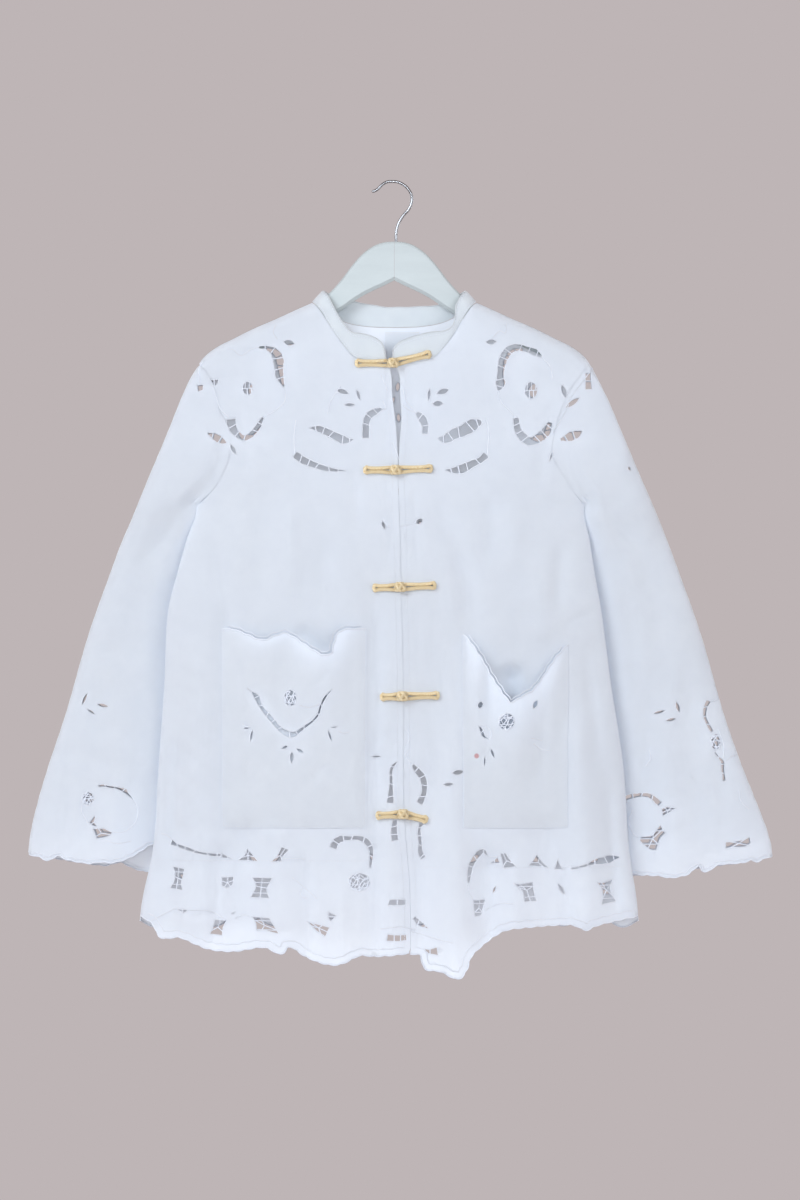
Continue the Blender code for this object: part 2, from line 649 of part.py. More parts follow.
def tube(name, points, radius, sides, material, closed=False):
    """A round bar along a route of points."""
    count = len(points)
    rings, up = [], Vector((0, 1, 0))
    for i, point in enumerate(points):
        before = points[(i - 1) % count] if closed else points[max(0, i - 1)]
        after = points[(i + 1) % count] if closed else points[min(count - 1, i + 1)]
        ahead = (after - before).normalized()
        across = ahead.cross(up).normalized()
        lift = across.cross(ahead)
        turns = [2 * math.pi * (k + 0.5) / sides for k in range(sides)]
        rings.append([point + (across * math.cos(t) + lift * math.sin(t)) * radius for t in turns])
    vertices = [v for ring in rings for v in ring]
    faces = []
    for i in range(count if closed else count - 1):
        a, b = i * sides, (i + 1) % count * sides
        for k in range(sides):
            n = (k + 1) % sides
            faces.append((a + k, a + n, b + n, b + k))
    if not closed:
        faces += [tuple(range(sides))[::-1], tuple(range((count - 1) * sides, count * sides))]
    return solid_of(name, vertices, faces, material)


def solid_of(name, vertices, faces, material):
    """An object of these faces, turned so that they point out."""
    mesh = bpy.data.meshes.new(name)
    mesh.from_pydata([v * METRE for v in vertices], [], faces)
    volume = 0.0
    for face in mesh.polygons:
        corners = [mesh.vertices[k].co for k in face.vertices]
        for b, c in zip(corners[1:], corners[2:]):
            volume += corners[0].dot(b.cross(c))
    if volume < 0:
        mesh.flip_normals()
    mesh.shade_smooth()
    mesh.set_sharp_from_angle(angle=math.radians(40))
    mesh.materials.append(material)
    made = bpy.data.objects.new(name, mesh)
    bpy.context.scene.collection.objects.link(made)
    return made


def spaced(first, last, most):
    """Values from first to last, both left out, no further apart than most."""
    count = max(1, math.ceil(abs(last - first) / most))
    return [first + (last - first) * k / count for k in range(1, count)]


def shoulder_points(hand, inset=0.0):
    """The shoulder seam from the neck to the sleeve, on one hand, lowered by inset."""
    distances = [row[0] for row in SHOULDER_LINE if NECK_SHOULDER[0] <= row[0] <= 229]
    return [(GARMENT_MIDDLE + hand * x, shoulder_line(x) + inset) for x in distances]


def armhole_points(hand, toward):
    """The armhole seam from the top down, moved by half of its gap, towards the sleeve above zero."""
    line = [(row[1 if hand < 0 else 2], row[0]) for row in ARMHOLE]
    moved = []
    for i, (x, d) in enumerate(line):
        (ax, ad), (bx, bd) = line[max(0, i - 1)], line[min(len(line) - 1, i + 1)]
        run = math.hypot(bx - ax, bd - ad)
        shift = toward * (SEAM_GAP / 2 if d < 340 else UNDERARM_GAP / 2)
        moved.append((x + hand * shift * (bd - ad) / run, d - hand * shift * (bx - ax) / run))
    return moved


def side_points(hand, top, bottom):
    edge = body_left if hand < 0 else body_right
    return [(edge(d), d) for d in spaced(top, bottom, 58)]


def top_rows(hand):
    """Points just below the shoulder seam, where the cloth rolls over the hanger."""
    seam = shoulder_points(hand)[1:]
    return [(x, d + row) for row in TOP_ROWS for x, d in seam if abs(x - GARMENT_MIDDLE) > 104]


def neck_points(rows, hand):
    return [(GARMENT_MIDDLE + hand * x, d) for x, d in rows]


def pocket_frame(name):
    """The two sides and the bottom of a pocket, down, across and up."""
    sizes = POCKETS[name]
    left, right, bottom = sizes["left"], sizes["right"], sizes["bottom"]
    first, last = sizes["mouth"][0], sizes["mouth"][-1]
    line = [(left, first[1])] + [(left, d) for d in spaced(first[1], bottom, 34)] + [(left, bottom)]
    line += [(x, bottom) for x in spaced(left, right, 19)] + [(right, bottom)]
    return line + [(right, d) for d in spaced(bottom, last[1], 34)] + [(right, last[1])]


def on_side(holes, low, high):
    """The openings whose middle lies between two lines that are functions of down."""
    kept = []
    for hole in holes:
        x = sum(p[0] for p in hole) / len(hole)
        d = sum(p[1] for p in hole) / len(hole)
        if low(d) < x < high(d):
            kept.append(hole)
    return kept


def make_fronts(material):
    """Left and right front, with their cutwork."""
    surface = Body(FRONT_SIDE)
    holes = openings_of(FRONT_LEAVES, FRONT_BANDS, FRONT_BLOCKS)
    made = []
    for name, hand, hem, edge in (
        ("front_left", -1, HEM_LEFT, opening_left),
        ("front_right", 1, HEM_RIGHT, opening_right),
    ):
        neck = neck_points(NECK_FRONT, hand)
        opening = [(edge(row[0]), row[0]) for row in OPENING[:-1]]
        opening += [(edge(900), 900)]
        top = shoulder_points(hand)
        armhole = armhole_points(hand, -1)
        end_down = hem[0][1] if hand < 0 else hem[-1][1]
        side = side_points(hand, ARMHOLE[-1][0], end_down)
        bottom = list(hem) if hand < 0 else list(hem)[::-1]
        outline = neck + top + armhole + side + bottom + opening[::-1]
        mine = on_side(holes, (lambda d: -999) if hand < 0 else edge, edge if hand < 0 else (lambda d: 999))
        pocket = "pocket_left" if hand < 0 else "pocket_right"
        made.append(
            cloth_panel(
                name, surface, outline, mine, BODY_GRID, material, top_rows(hand), [pocket_frame(pocket)]
            )
        )
    return made


def back_hem():
    """Scallops along the back, from the left side to the right side."""
    width, drop = BACK_SCALLOP
    left, right = body_left(BACK_HEM_DOWN), body_right(BACK_HEM_DOWN)
    count = round((right - left) / width)
    points = []
    for i in range(count * 2 + 1):
        points.append((left + (right - left) * i / (count * 2), BACK_HEM_DOWN + (drop if i % 2 else 0)))
    return points


def back_border():
    """Leaves and waisted blocks in rows above the hem of the back."""
    spacing, down, length, width = BACK_BORDER_LEAVES
    count = int(BACK_BORDER_REACH / spacing)
    leaves = [(GARMENT_MIDDLE + k * spacing, down, length, width, 35 * (-1) ** k) for k in range(-count, count + 1)]
    spacing, down, top, waist, bottom, height = BACK_BORDER_BLOCKS
    count = int(BACK_BORDER_REACH / spacing)
    blocks = [
        (GARMENT_MIDDLE + k * spacing, down, top, waist, bottom, height, 0) for k in range(-count, count + 1)
    ]
    return leaves, blocks


def make_back(material):
    surface = Body(BACK_SIDE)
    leaves, blocks = back_border()
    holes = openings_of(BACK_LEAVES + tuple(leaves), BACK_BANDS, blocks)
    outline = neck_points(NECK_BACK, -1)[::-1][:-1] + neck_points(NECK_BACK, 1)
    outline += shoulder_points(1) + armhole_points(1, -1)
    hem = back_hem()
    outline += side_points(1, ARMHOLE[-1][0], hem[-1][1]) + hem[::-1]
    outline += side_points(-1, ARMHOLE[-1][0], hem[0][1])[::-1]
    outline += armhole_points(-1, -1)[::-1] + shoulder_points(-1)[::-1]
    return cloth_panel("back", surface, outline, holes, BACK_GRID, material, top_rows(-1) + top_rows(1))


def make_sleeves(material):
    """Each sleeve as a front half and a back half."""
    cuffs = {
        (-1, FRONT_SIDE): LEFT_CUFF_FRONT,
        (-1, BACK_SIDE): LEFT_CUFF_BACK,
        (1, FRONT_SIDE): RIGHT_CUFF_FRONT,
        (1, BACK_SIDE): RIGHT_CUFF_BACK,
    }
    ends = {-1: LEFT_CUFF_ENDS, 1: RIGHT_CUFF_ENDS}
    cuts = {
        -1: openings_of(LEFT_SLEEVE_LEAVES, LEFT_SLEEVE_BANDS, LEFT_SLEEVE_BLOCKS),
        1: openings_of(RIGHT_SLEEVE_LEAVES, RIGHT_SLEEVE_BANDS, RIGHT_SLEEVE_BLOCKS),
    }
    for (hand, side), cuff in cuffs.items():
        surface = Sleeve(hand, side)
        outer_end, inner_end = ends[hand]
        seam = armhole_points(hand, 1)
        start = seam[-1][1] + 3
        inner = [(surface.inner(start), start)]
        inner += [(surface.inner(d), d) for d in spaced(start, inner_end, 56)]
        inner += [(surface.inner(inner_end), inner_end)]
        outer = [(surface.outer(d), d) for d in [outer_end] + spaced(outer_end, 260, 48) + [260, 248, 236, 226]]
        outline = seam + inner + list(cuff)[::-1] + outer
        side_name = "front" if side == FRONT_SIDE else "back"
        name = f"sleeve_{'left' if hand < 0 else 'right'}_{side_name}"
        cloth_panel(name, surface, outline, cuts[hand], SLEEVE_GRID, material)


def make_pockets(material):
    cuts = {
        "pocket_left": openings_of(POCKET_LEFT_LEAVES, POCKET_LEFT_BANDS),
        "pocket_right": openings_of(POCKET_RIGHT_LEAVES, POCKET_RIGHT_BANDS),
    }
    for name, holes in cuts.items():
        frame = pocket_frame(name)
        mouth = POCKETS[name]["mouth"]
        outline = frame + list(mouth[-2:0:-1])
        cloth_panel(name, Pocket(name), outline, holes, POCKET_GRID, material)


def neck_seam():
    """The collar's lower edge from its left front corner round the back to the right one."""
    front_left = [(opening_left(218), 218)] + neck_points(NECK_FRONT, -1)
    front_right = [(opening_right(218), 218)] + neck_points(NECK_FRONT, 1)
    back = neck_points(NECK_BACK, -1)[:0:-1] + neck_points(NECK_BACK, 1)
    folds = [(GARMENT_MIDDLE + hand * NECK_SHOULDER[0], NECK_SHOULDER[1]) for hand in (-1, 1)]
    return front_left, folds, back, front_right


def make_collar(material):
    """The stand collar, as one band from front corner to front corner."""
    front_left, folds, back, front_right = neck_seam()
    front_surface, back_surface = Body(FRONT_SIDE), Body(BACK_SIDE)
    runs = (
        (front_left, COLLAR_LEFT, front_surface),
        (folds[:1], (COLLAR_LEFT_FOLD,), None),
        (back, COLLAR_BACK, back_surface),
        (folds[1:], (COLLAR_RIGHT_FOLD,), None),
        (front_right[::-1], COLLAR_RIGHT[::-1], front_surface),
    )
    stations = []
    for seam, edges, surface in runs:
        for (seam_x, seam_d), (edge_x, edge_d, edge_depth) in zip(seam, edges, strict=True):
            depth = surface.depth(seam_x, seam_d) if surface else 0.0
            low = Vector((seam_x, depth, -seam_d))
            high = Vector((edge_x, edge_depth, -edge_d))
            low += (high - low).normalized() * COLLAR_GAP * (2.4 if surface is None else 1)
            stations.append([low.lerp(high, share) for share in (0, 0.4, 0.75, 1)])
    levels = len(stations[0])
    inner = [point for row in stations for point in row]
    outer = []
    for i, row in enumerate(stations):
        before, after = stations[max(0, i - 1)], stations[min(len(stations) - 1, i + 1)]
        for j, point in enumerate(row):
            rise = row[min(levels - 1, j + 1)] - row[max(0, j - 1)]
            out = rise.cross(after[j] - before[j]).normalized()
            outer.append(point + out * COLLAR_WALL)
    triangles = []
    for i in range(len(stations) - 1):
        for j in range(levels - 1):
            a, b = i * levels + j, (i + 1) * levels + j
            triangles += [(a, b, b + 1), (a, b + 1, a + 1)]
    return walled("collar", inner, outer, triangles, material)


def make_label(material):
    """A bare tab sewn inside the back of the neck."""
    surface = Body(BACK_SIDE)
    left, right, top, bottom, thick = LABEL
    inner, outer, triangles = [], [], []
    columns, rows = 3, 2
    for j in range(rows + 1):
        for i in range(columns + 1):
            x = left + (right - left) * i / columns
            d = top + (bottom - top) * j / rows
            point, out = surface_point(surface, surface.to_u(x, d), d)
            outer.append(point - out * 0.6)
            inner.append(point - out * (0.6 + thick))
    for j in range(rows):
        for i in range(columns):
            a, b = j * (columns + 1) + i, (j + 1) * (columns + 1) + i
            triangles += [(a, a + 1, b + 1), (a, b + 1, b)]
    return walled("label", inner, outer, triangles, material)


def make_hanger(material):
    """Two wooden arms with rounded edges, glued at the middle."""
    corners = ((0, 0), (0.5, 0.07), (0.86, 0.26), (1, 0.5), (1, 0.94), (0.6, 1))
    for name, hand in (("hanger_arm_left", -1), ("hanger_arm_right", 1)):
        rings = []
        for i, (x, top, bottom) in enumerate(HANGER_ARM):
            half = HANGER_THICK / 2 if i < len(HANGER_ARM) - 1 else ARM_END_THICK / 2
            ring = []
            for across, share in corners:
                fall = share * (bottom - top) if share > 0.5 else share * HANGER_THICK
                ring.append((across * half, top + fall))
            ring = ring + [(-y, d) for y, d in ring[:0:-1]]
            rings.append([Vector((HANGER_MIDDLE + hand * x, y, -d)) for y, d in ring])
        sides = len(rings[0])
        vertices = [v for ring in rings for v in ring]
        faces = [tuple(range(sides)), tuple(range((len(rings) - 1) * sides, len(rings) * sides))[::-1]]
        for i in range(len(rings) - 1):
            for k in range(sides):
                n = (k + 1) % sides
                faces.append((i * sides + k, (i + 1) * sides + k, (i + 1) * sides + n, i * sides + n))
        solid_of(name, vertices, faces, material)


def hook_route():
    """From the tip over the top and down into the wood, in a flat plane."""
    points = []
    for degrees in range(160, -41, -20):
        turn = math.radians(degrees)
        points.append((HOOK_RADIUS * math.cos(turn), HOOK_CENTRE_DOWN - HOOK_RADIUS * math.sin(turn)))
    points += [(12.5, 45), (8.6, 52), (STEM_ACROSS, 59), (STEM_ACROSS, HANGER_ARM[0][1] - SEAM_GAP)]
    return [Vector((x, 0, -d)) for x, d in points]


def make_frogs(surfaces, material):
    """Five cord fastenings: two loops of doubled cord and a ball knot between them."""
    trees = []
    for surface in surfaces:
        mesh = surface.data
        trees.append(
            BVHTree.FromPolygons([v.co / METRE for v in mesh.vertices], [p.vertices[:] for p in mesh.polygons])
        )

    def front_of(across, down):
        hits = [tree.ray_cast(Vector((across, -200, -down)), Vector((0, 1, 0)))[0] for tree in trees]
        return min((hit.y for hit in hits if hit is not None), default=0.0)

    for number, (ball, left_end, right_end) in enumerate(FROGS, 1):
        for name, end in (("left", left_end), ("right", right_end)):
            reach = math.dist(ball, end)
            ahead = ((end[0] - ball[0]) / reach, (end[1] - ball[1]) / reach)
            start = BALL_RADIUS + SEAM_GAP + CORD_RADIUS + 0.4
            runs = [start, start + (reach - start) * 0.4, start + (reach - start) * 0.75, reach - CORD_RADIUS]
            path = [(run, spread) for run, spread in zip(runs, CORD_SPREAD)]
            path += [(run, -spread) for run, spread in path[::-1]]
            points = []
            for run, spread in path:
                x = ball[0] + ahead[0] * run - ahead[1] * spread
                d = ball[1] + ahead[1] * run + ahead[0] * spread
                clear = min(front_of(x + dx, d + dd) for dx, dd in ((0, 0), (3, 0), (-3, 0), (0, 3), (0, -3)))
                points.append(Vector((x, clear - CORD_RADIUS - 0.5, -d)))
            tube(f"frog_{number}_{name}", points, CORD_RADIUS, 6, material, closed=True)
        steps = [k * BALL_RADIUS / 5 for k in range(-4, 5)]
        offsets = [(dx, dd) for dx in steps for dd in steps if math.hypot(dx, dd) < BALL_RADIUS]
        clear = []
        for dx, dd in offsets:
            sag = BALL_RADIUS - math.sqrt(max(0.0, BALL_RADIUS**2 - dx * dx - dd * dd))
            hits = [tree.ray_cast(Vector((ball[0] + dx, -200, -ball[1] - dd)), Vector((0, 1, 0)))[0] for tree in trees]
            clear += [hit.y + sag for hit in hits if hit is not None]
        centre = Vector((ball[0], min(clear) - BALL_RADIUS - 0.4, -ball[1]))
        make_ball(f"frog_{number}_ball", centre, material)


def make_ball(name, centre, material):
    vertices = [centre + Vector((0, -BALL_RADIUS, 0))]
    rings, sides = 4, 8
    for i in range(1, rings):
        polar = math.pi * i / rings
        for k in range(sides):
            turn = 2 * math.pi * k / sides
            flat = BALL_RADIUS * math.sin(polar)
            vertices.append(
                centre + Vector((flat * math.cos(turn), -BALL_RADIUS * math.cos(polar), flat * math.sin(turn)))
            )
    vertices.append(centre + Vector((0, BALL_RADIUS, 0)))
    faces = []
    last = len(vertices) - 1
    for k in range(sides):
        n = (k + 1) % sides
        faces += [(0, 1 + n, 1 + k), (last, last - sides + k, last - sides + n)]
        for i in range(rings - 2):
            a, b = 1 + i * sides, 1 + (i + 1) * sides
            faces.append((a + k, a + n, b + n, b + k))
    return solid_of(name, vertices, faces, material)


def main():
    for old in list(bpy.data.objects):
        bpy.data.objects.remove(old)
    cloth = material_of("cloth", CLOTH_COLOUR, 0.85)
    collar_cloth = material_of("collar_cloth", COLLAR_COLOUR, 0.85)
    tape = material_of("label_tape", LABEL_COLOUR, 0.8)
    cord = material_of("cord", CORD_COLOUR, 0.4)
    wood = material_of("painted_wood", WOOD_COLOUR, 0.45)
    wire = material_of("hook_wire", HOOK_COLOUR, 0.18, 1.0)
    fronts = make_fronts(cloth)
    make_back(cloth)
    make_sleeves(cloth)
    make_pockets(cloth)
    collar = make_collar(collar_cloth)
    make_label(tape)
    make_hanger(wood)
    tube("hook", hook_route(), WIRE_RADIUS, 8, wire)
    make_frogs([*fronts, collar], cord)


main()
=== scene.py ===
"""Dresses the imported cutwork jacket: fine cloth, cut edges, thread bars, cords, hanger and studio.

Tables are in millimetres: across runs to the viewer's right and down runs down from the point
where the hook rests. Left and right are as seen from the front, which faces -Y.
"""

import math

import bmesh
import bpy
import numpy as np
from bpy.props import FloatProperty, FloatVectorProperty, IntProperty, PointerProperty
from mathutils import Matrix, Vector
from mathutils.bvhtree import BVHTree
from mathutils.geometry import delaunay_2d_cdt
from mathutils.kdtree import KDTree


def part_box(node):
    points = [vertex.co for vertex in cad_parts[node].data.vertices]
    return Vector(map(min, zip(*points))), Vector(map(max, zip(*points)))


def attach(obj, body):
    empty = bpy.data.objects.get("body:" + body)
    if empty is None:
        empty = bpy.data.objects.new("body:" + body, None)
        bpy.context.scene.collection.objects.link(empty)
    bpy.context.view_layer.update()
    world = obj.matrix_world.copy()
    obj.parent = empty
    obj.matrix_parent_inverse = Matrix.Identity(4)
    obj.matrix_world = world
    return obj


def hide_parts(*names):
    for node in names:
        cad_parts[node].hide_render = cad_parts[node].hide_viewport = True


bl_info = {
    "name": "Cutwork Jacket Dresser",
    "version": (1, 0, 0),
    "blender": (4, 5, 0),
    "location": "3D View > Sidebar > Jacket",
    "description": "Builds the visible cloth, cutwork, cords and hanger around the packed jacket",
    "category": "Object",
}

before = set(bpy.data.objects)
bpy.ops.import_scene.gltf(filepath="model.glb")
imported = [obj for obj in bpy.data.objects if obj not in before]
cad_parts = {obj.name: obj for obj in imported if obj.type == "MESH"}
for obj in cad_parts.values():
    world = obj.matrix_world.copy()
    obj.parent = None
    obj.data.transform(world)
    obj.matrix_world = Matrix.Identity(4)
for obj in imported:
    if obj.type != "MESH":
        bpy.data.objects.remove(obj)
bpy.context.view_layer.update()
ARM_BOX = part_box("hanger_arm_left")

MM = 0.001
BODY = "root"
FRONT_SIDE = -1
BACK_SIDE = 1
GARMENT_MIDDLE = 4.0
WALL = 1.5
PATCH_GAP = 0.3
TOP_ROUND = 12.0
HANGER_MIDDLE = 4.0
OPENING_TOP = 218.0
OPENING_CLOSER = 0.6  # how far each opening edge is moved towards the other
OPENING_HALF_GAP = 0.12  # the least that is left
OPENING_STITCH_INSET = 7.0
SHOULDER_END = 229.0  # where the sleeve head starts, from the middle
# Stitched tucks above the hem. Columns: from across, to across, points
FRONT_TUCK = (278, 30, 60)
FRONT_TUCK_DOWN = {-1: 811.0, 1: 819.0}
BACK_TUCK = (-276, 276, 120)
BACK_TUCK_DOWN = 800.0
SEAM_WELD = 0.02
STEP_COARSE, STEP_FINE = 4.0, 2.5  # of points along outlines and along raised lines

# Columns: distance from the middle, down. Top line of the shoulders and of the sleeve heads.
SHOULDER_LINE = (
    (0, 98), (60, 125), (98, 145), (114, 152), (140, 164), (168, 176), (192, 188), (215, 200), (229, 212), (237, 224),
    (244, 236), (250, 248), (255, 260), (265, 284), (274, 308), (284, 332),
)
# Columns: down, left edge, right edge, half depth, depth of the side edge
BODY_SECTIONS = (
    (120, -300, 304, 14, 0), (220, -290, 296, 15, 0), (300, -266, 272, 17, 0), (350, -247, 250, 20, 0),
    (388, -232, 231, 23, -1), (430, -244, 237, 25, -5), (470, -255, 243, 27, -8), (510, -265, 250, 29, -10),
    (600, -270, 262, 33, -10), (700, -277, 277, 37, -10), (800, -284, 284, 40, -10), (870, -298, 294, 41, -10),
    (960, -301, 297, 41, -10),
)
# Columns: down, left seam, right seam
ARMHOLE = (
    (218, -229, 237), (230, -219, 228), (250, -210, 214), (272, -206, 204), (296, -194, 197), (326, -193, 193),
    (350, -202, 206), (370, -214, 218), (388, -232, 231),
)
# Columns: down, outer and inner edge of the left sleeve, of the right sleeve, half depth, depth of the middle
SLEEVE_SECTIONS = (
    (218, -229, -150, 238, 158, 8, 0), (236, -240, -150, 247, 158, 9, 0), (260, -251, -150, 259, 158, 10, 0),
    (300, -267, -152, 276, 160, 12, 0), (350, -288, -184, 297, 188, 14, 0), (389, -304, -233, 314, 232, 15, 2),
    (410, -313, -232, 323, 229, 15, 8), (430, -322, -236, 331, 230, 15, 11), (470, -337, -244, 346, 232, 15, 14),
    (540, -362, -254, 371, 240, 16, 17), (640, -391, -256, 400, 248, 17, 18), (700, -411, -258, 421, 257, 18, 18),
    (740, -423, -261, 437, 261, 18, 18), (790, -434, -266, 455, 263, 18, 18), (840, -436, -272, 461, 268, 18, 18),
)
# Columns: down, edge of the left front, edge of the right front
OPENING = (
    (218, -4, 3), (226, -1, 9), (254, 1, 11.5), (285, 4.5, 13), (315, 7, 10.5), (332, 7.8, 10.2), (356, 8, 9.5),
    (416, 10.2, 11.6), (500, 12, 13.4), (608, 14.4, 15.8), (755, 15, 16.4), (800, 18, 19.4), (850, 21.5, 22.9),
    (960, 22, 23.4),
)
# Columns: distance from the middle, down
NECK_FRONT = ((12, 217), (18, 216), (34, 213), (48, 209.5), (59, 198), (68, 186), (76, 174), (84, 161), (91, 151))
NECK_BACK = ((0, 173), (30, 172), (55, 168), (74, 160), (87, 152))
NECK_SHOULDER = (98, 145)
# Columns: across, down. The hem of the front, from the left side to the right side.
HEM_LEFT = (
    (-298, 878), (-284, 887), (-274, 903), (-252, 902), (-234, 909), (-215, 916), (-187, 918), (-151, 913),
    (-131, 921), (-120, 912), (-98, 926), (-66, 934), (-38, 923), (-17, 924), (21, 920),
)
HEM_RIGHT = (
    (22.5, 922), (35, 922), (41, 939), (60, 942), (80, 950), (90, 938), (96, 922), (121, 902), (140, 892), (170, 889),
    (216, 887), (232, 893), (247, 887), (294, 878),
)
BACK_HEM_DOWN = 884
BACK_SCALLOP = (36, 9)  # width, drop
# Columns: across, down, from the outer edge to the inner one
CUFFS = {
    (-1, FRONT_SIDE): (
        (-424, 807.5), (-412, 812.5), (-405.5, 809.5), (-401, 806), (-388, 811.5), (-361, 816), (-352, 814),
        (-331.5, 814.5), (-313, 808), (-302.5, 802), (-287, 793), (-276, 796),
    ),
    (-1, BACK_SIDE): (
        (-420, 807), (-400, 812), (-375, 816), (-345, 820), (-327, 816), (-308, 824), (-290, 826), (-278, 812),
    ),
    (1, FRONT_SIDE): (
        (450, 809), (440, 814), (431, 811.5), (422.5, 815), (392.5, 817.5), (381.5, 825), (374.5, 825),
        (368.5, 818.5), (360, 825.5), (352.5, 830), (332, 833), (326.5, 831), (300, 829.5), (288, 828),
    ),
    (1, BACK_SIDE): ((438, 812), (410, 818), (380, 821), (350, 826), (318, 828), (290, 832)),
}
CUFF_ENDS = {-1: (806, 802), 1: (809, 830)}  # outer, inner

# Largest folds, as in the solids. Columns: route, half width, height, runs out at the hem.
FRONT_FOLDS = (
    (((-152, 332), (-152, 524)), 18, -5, False), (((-79, 410), (-82, 520)), 15, -4, False),
    (((-182, 540), (-176, 700), (-178, 880)), 22, -8, True), (((-226, 480), (-228, 700), (-232, 880)), 22, 7, True),
    (((-148, 560), (-140, 700), (-132, 930)), 18, 5, True), (((-19, 430), (-20, 700), (-16, 930)), 14, -7, True),
    (((-4, 700), (0, 930)), 13, 4, True), (((46, 360), (89, 472), (107, 560)), 14, -6, False),
    (((118, 360), (119, 470)), 14, -5, False), (((52, 500), (50, 790)), 14, -4, False),
    (((34, 770), (36, 940)), 15, -7, True), (((76, 640), (76, 945)), 16, 8, True),
    (((112, 790), (118, 900)), 15, -8, True), (((176, 430), (182, 560)), 20, 5, False),
    (((218, 600), (236, 880)), 20, 7, True), (((180, 640), (186, 880)), 18, -4, True),
)
BACK_FOLDS = (
    (((-185, 420), (-196, 890)), 26, -7, True), (((-105, 360), (-118, 890)), 28, 6, True),
    (((-30, 420), (-34, 890)), 24, -6, True), (((52, 330), (60, 890)), 28, 5, True),
    (((128, 440), (138, 890)), 24, -8, True), (((200, 480), (214, 890)), 26, 6, True),
)
SLEEVE_FOLDS = (
    (((-246, 330), (-300, 470), (-318, 600)), 18, -3.5, False),
    (((-330, 520), (-352, 700), (-372, 830)), 20, -3.5, True), (((-296, 560), (-306, 830)), 18, -3, True),
)
# Finer creases than the solids have. Columns as above.
FRONT_CREASES = (
    (((-214, 420), (-196, 520), (-200, 600)), 11, -2.6, False), (((-120, 372), (-116, 500)), 12, 1.8, False),
    (((-46, 330), (-40, 430)), 9, -1.5, False), (((-108, 440), (-104, 530)), 8, -1.5, False),
    (((-252, 640), (-262, 830)), 9, -2.4, False), (((-205, 790), (-210, 905)), 8, -2.6, True),
    (((-104, 790), (-96, 920)), 9, -2.4, True), (((-62, 820), (-52, 925)), 8, 2.2, True),
    (((-246, 880), (-200, 872)), 5, -1.3, False), (((-150, 900), (-112, 890)), 5, -1.2, False),
    (((-4, 240), (-6, 330)), 7, -1.4, False), (((26, 230), (24, 330)), 7, -1.2, False),
    (((-12, 340), (0, 390), (-2, 470)), 6, -1.6, False), (((26, 360), (30, 470)), 6, -1.5, False),
    (((30, 500), (32, 600)), 6, -1.5, False), (((2, 640), (-2, 740)), 6, -1.4, False),
    (((66, 380), (74, 560)), 10, 1.6, False), (((148, 372), (150, 470)), 12, 1.8, False),
    (((206, 420), (196, 520)), 10, -2.4, False), (((232, 560), (250, 700)), 9, -2.2, False),
    (((258, 700), (268, 860)), 9, -2.4, True), (((150, 792), (148, 890)), 9, 2.2, True),
    (((60, 560), (70, 690)), 8, -1.8, False), (((206, 800), (210, 885)), 8, -2.2, True),
    (((56, 900), (62, 944)), 6, -1.8, True), (((84, 850), (96, 925)), 7, 1.8, True),
    (((-190, 240), (-176, 300), (-170, 372)), 9, -1.4, False), (((196, 246), (184, 310), (176, 380)), 9, -1.4, False),
)
BACK_CREASES = (
    (((-210, 400), (-190, 500), (-196, 640)), 12, -2.4, False), (((-150, 360), (-146, 560)), 14, 2.0, False),
    (((-70, 300), (-64, 480)), 12, -1.8, False), (((14, 480), (10, 700)), 12, 1.8, False),
    (((90, 360), (98, 600)), 13, -2.0, False), (((170, 400), (162, 600)), 12, 1.8, False),
    (((-230, 640), (-244, 850)), 11, -2.6, False), (((240, 600), (256, 860)), 10, -2.4, False),
    (((-72, 700), (-78, 885)), 10, 2.2, True), (((94, 700), (96, 885)), 11, -2.4, True),
    (((-160, 760), (-156, 885)), 9, 2.0, True), (((170, 740), (176, 885)), 9, 2.2, True),
)
SLEEVE_CREASES = (
    (((-236, 360), (-266, 420), (-306, 460)), 9, -2.0, False),
    (((-252, 420), (-280, 520), (-284, 640)), 10, -1.8, False),
    (((-262, 280), (-280, 380), (-310, 460)), 12, 1.5, False), (((-336, 560), (-330, 650)), 9, 1.5, False),
    (((-384, 650), (-392, 800)), 9, -2.0, True), (((-280, 680), (-284, 820)), 8, 1.5, True),
    (((-334, 740), (-330, 825)), 8, 1.4, True), (((-350, 600), (-366, 690)), 10, -1.4, False),
)
POCKET_CREASES = {
    "pocket_left": (
        (((-70, 574), (-82, 594), (-96, 610)), 6, -2.2, False),
        (((-66, 690), (-84, 702), (-98, 722)), 4.5, -1.6, False), (((-60, 706), (-104, 740)), 12, 1.2, False),
        (((-178, 560), (-172, 640)), 9, 1.4, False), (((-46, 560), (-48, 660)), 8, -1.2, False),
    ),
    "pocket_right": (
        (((104, 592), (116, 650), (112, 720)), 9, -2.0, False),
        (((112, 580), (118, 610), (120, 645)), 9, -3.0, False),
        (((176, 616), (178, 690), (168, 740)), 9, -1.8, False), (((148, 650), (146, 730)), 12, 1.5, False),
        (((92, 560), (112, 610)), 5, 1.5, False), (((206, 570), (186, 620)), 6, 1.5, False),
    ),
}

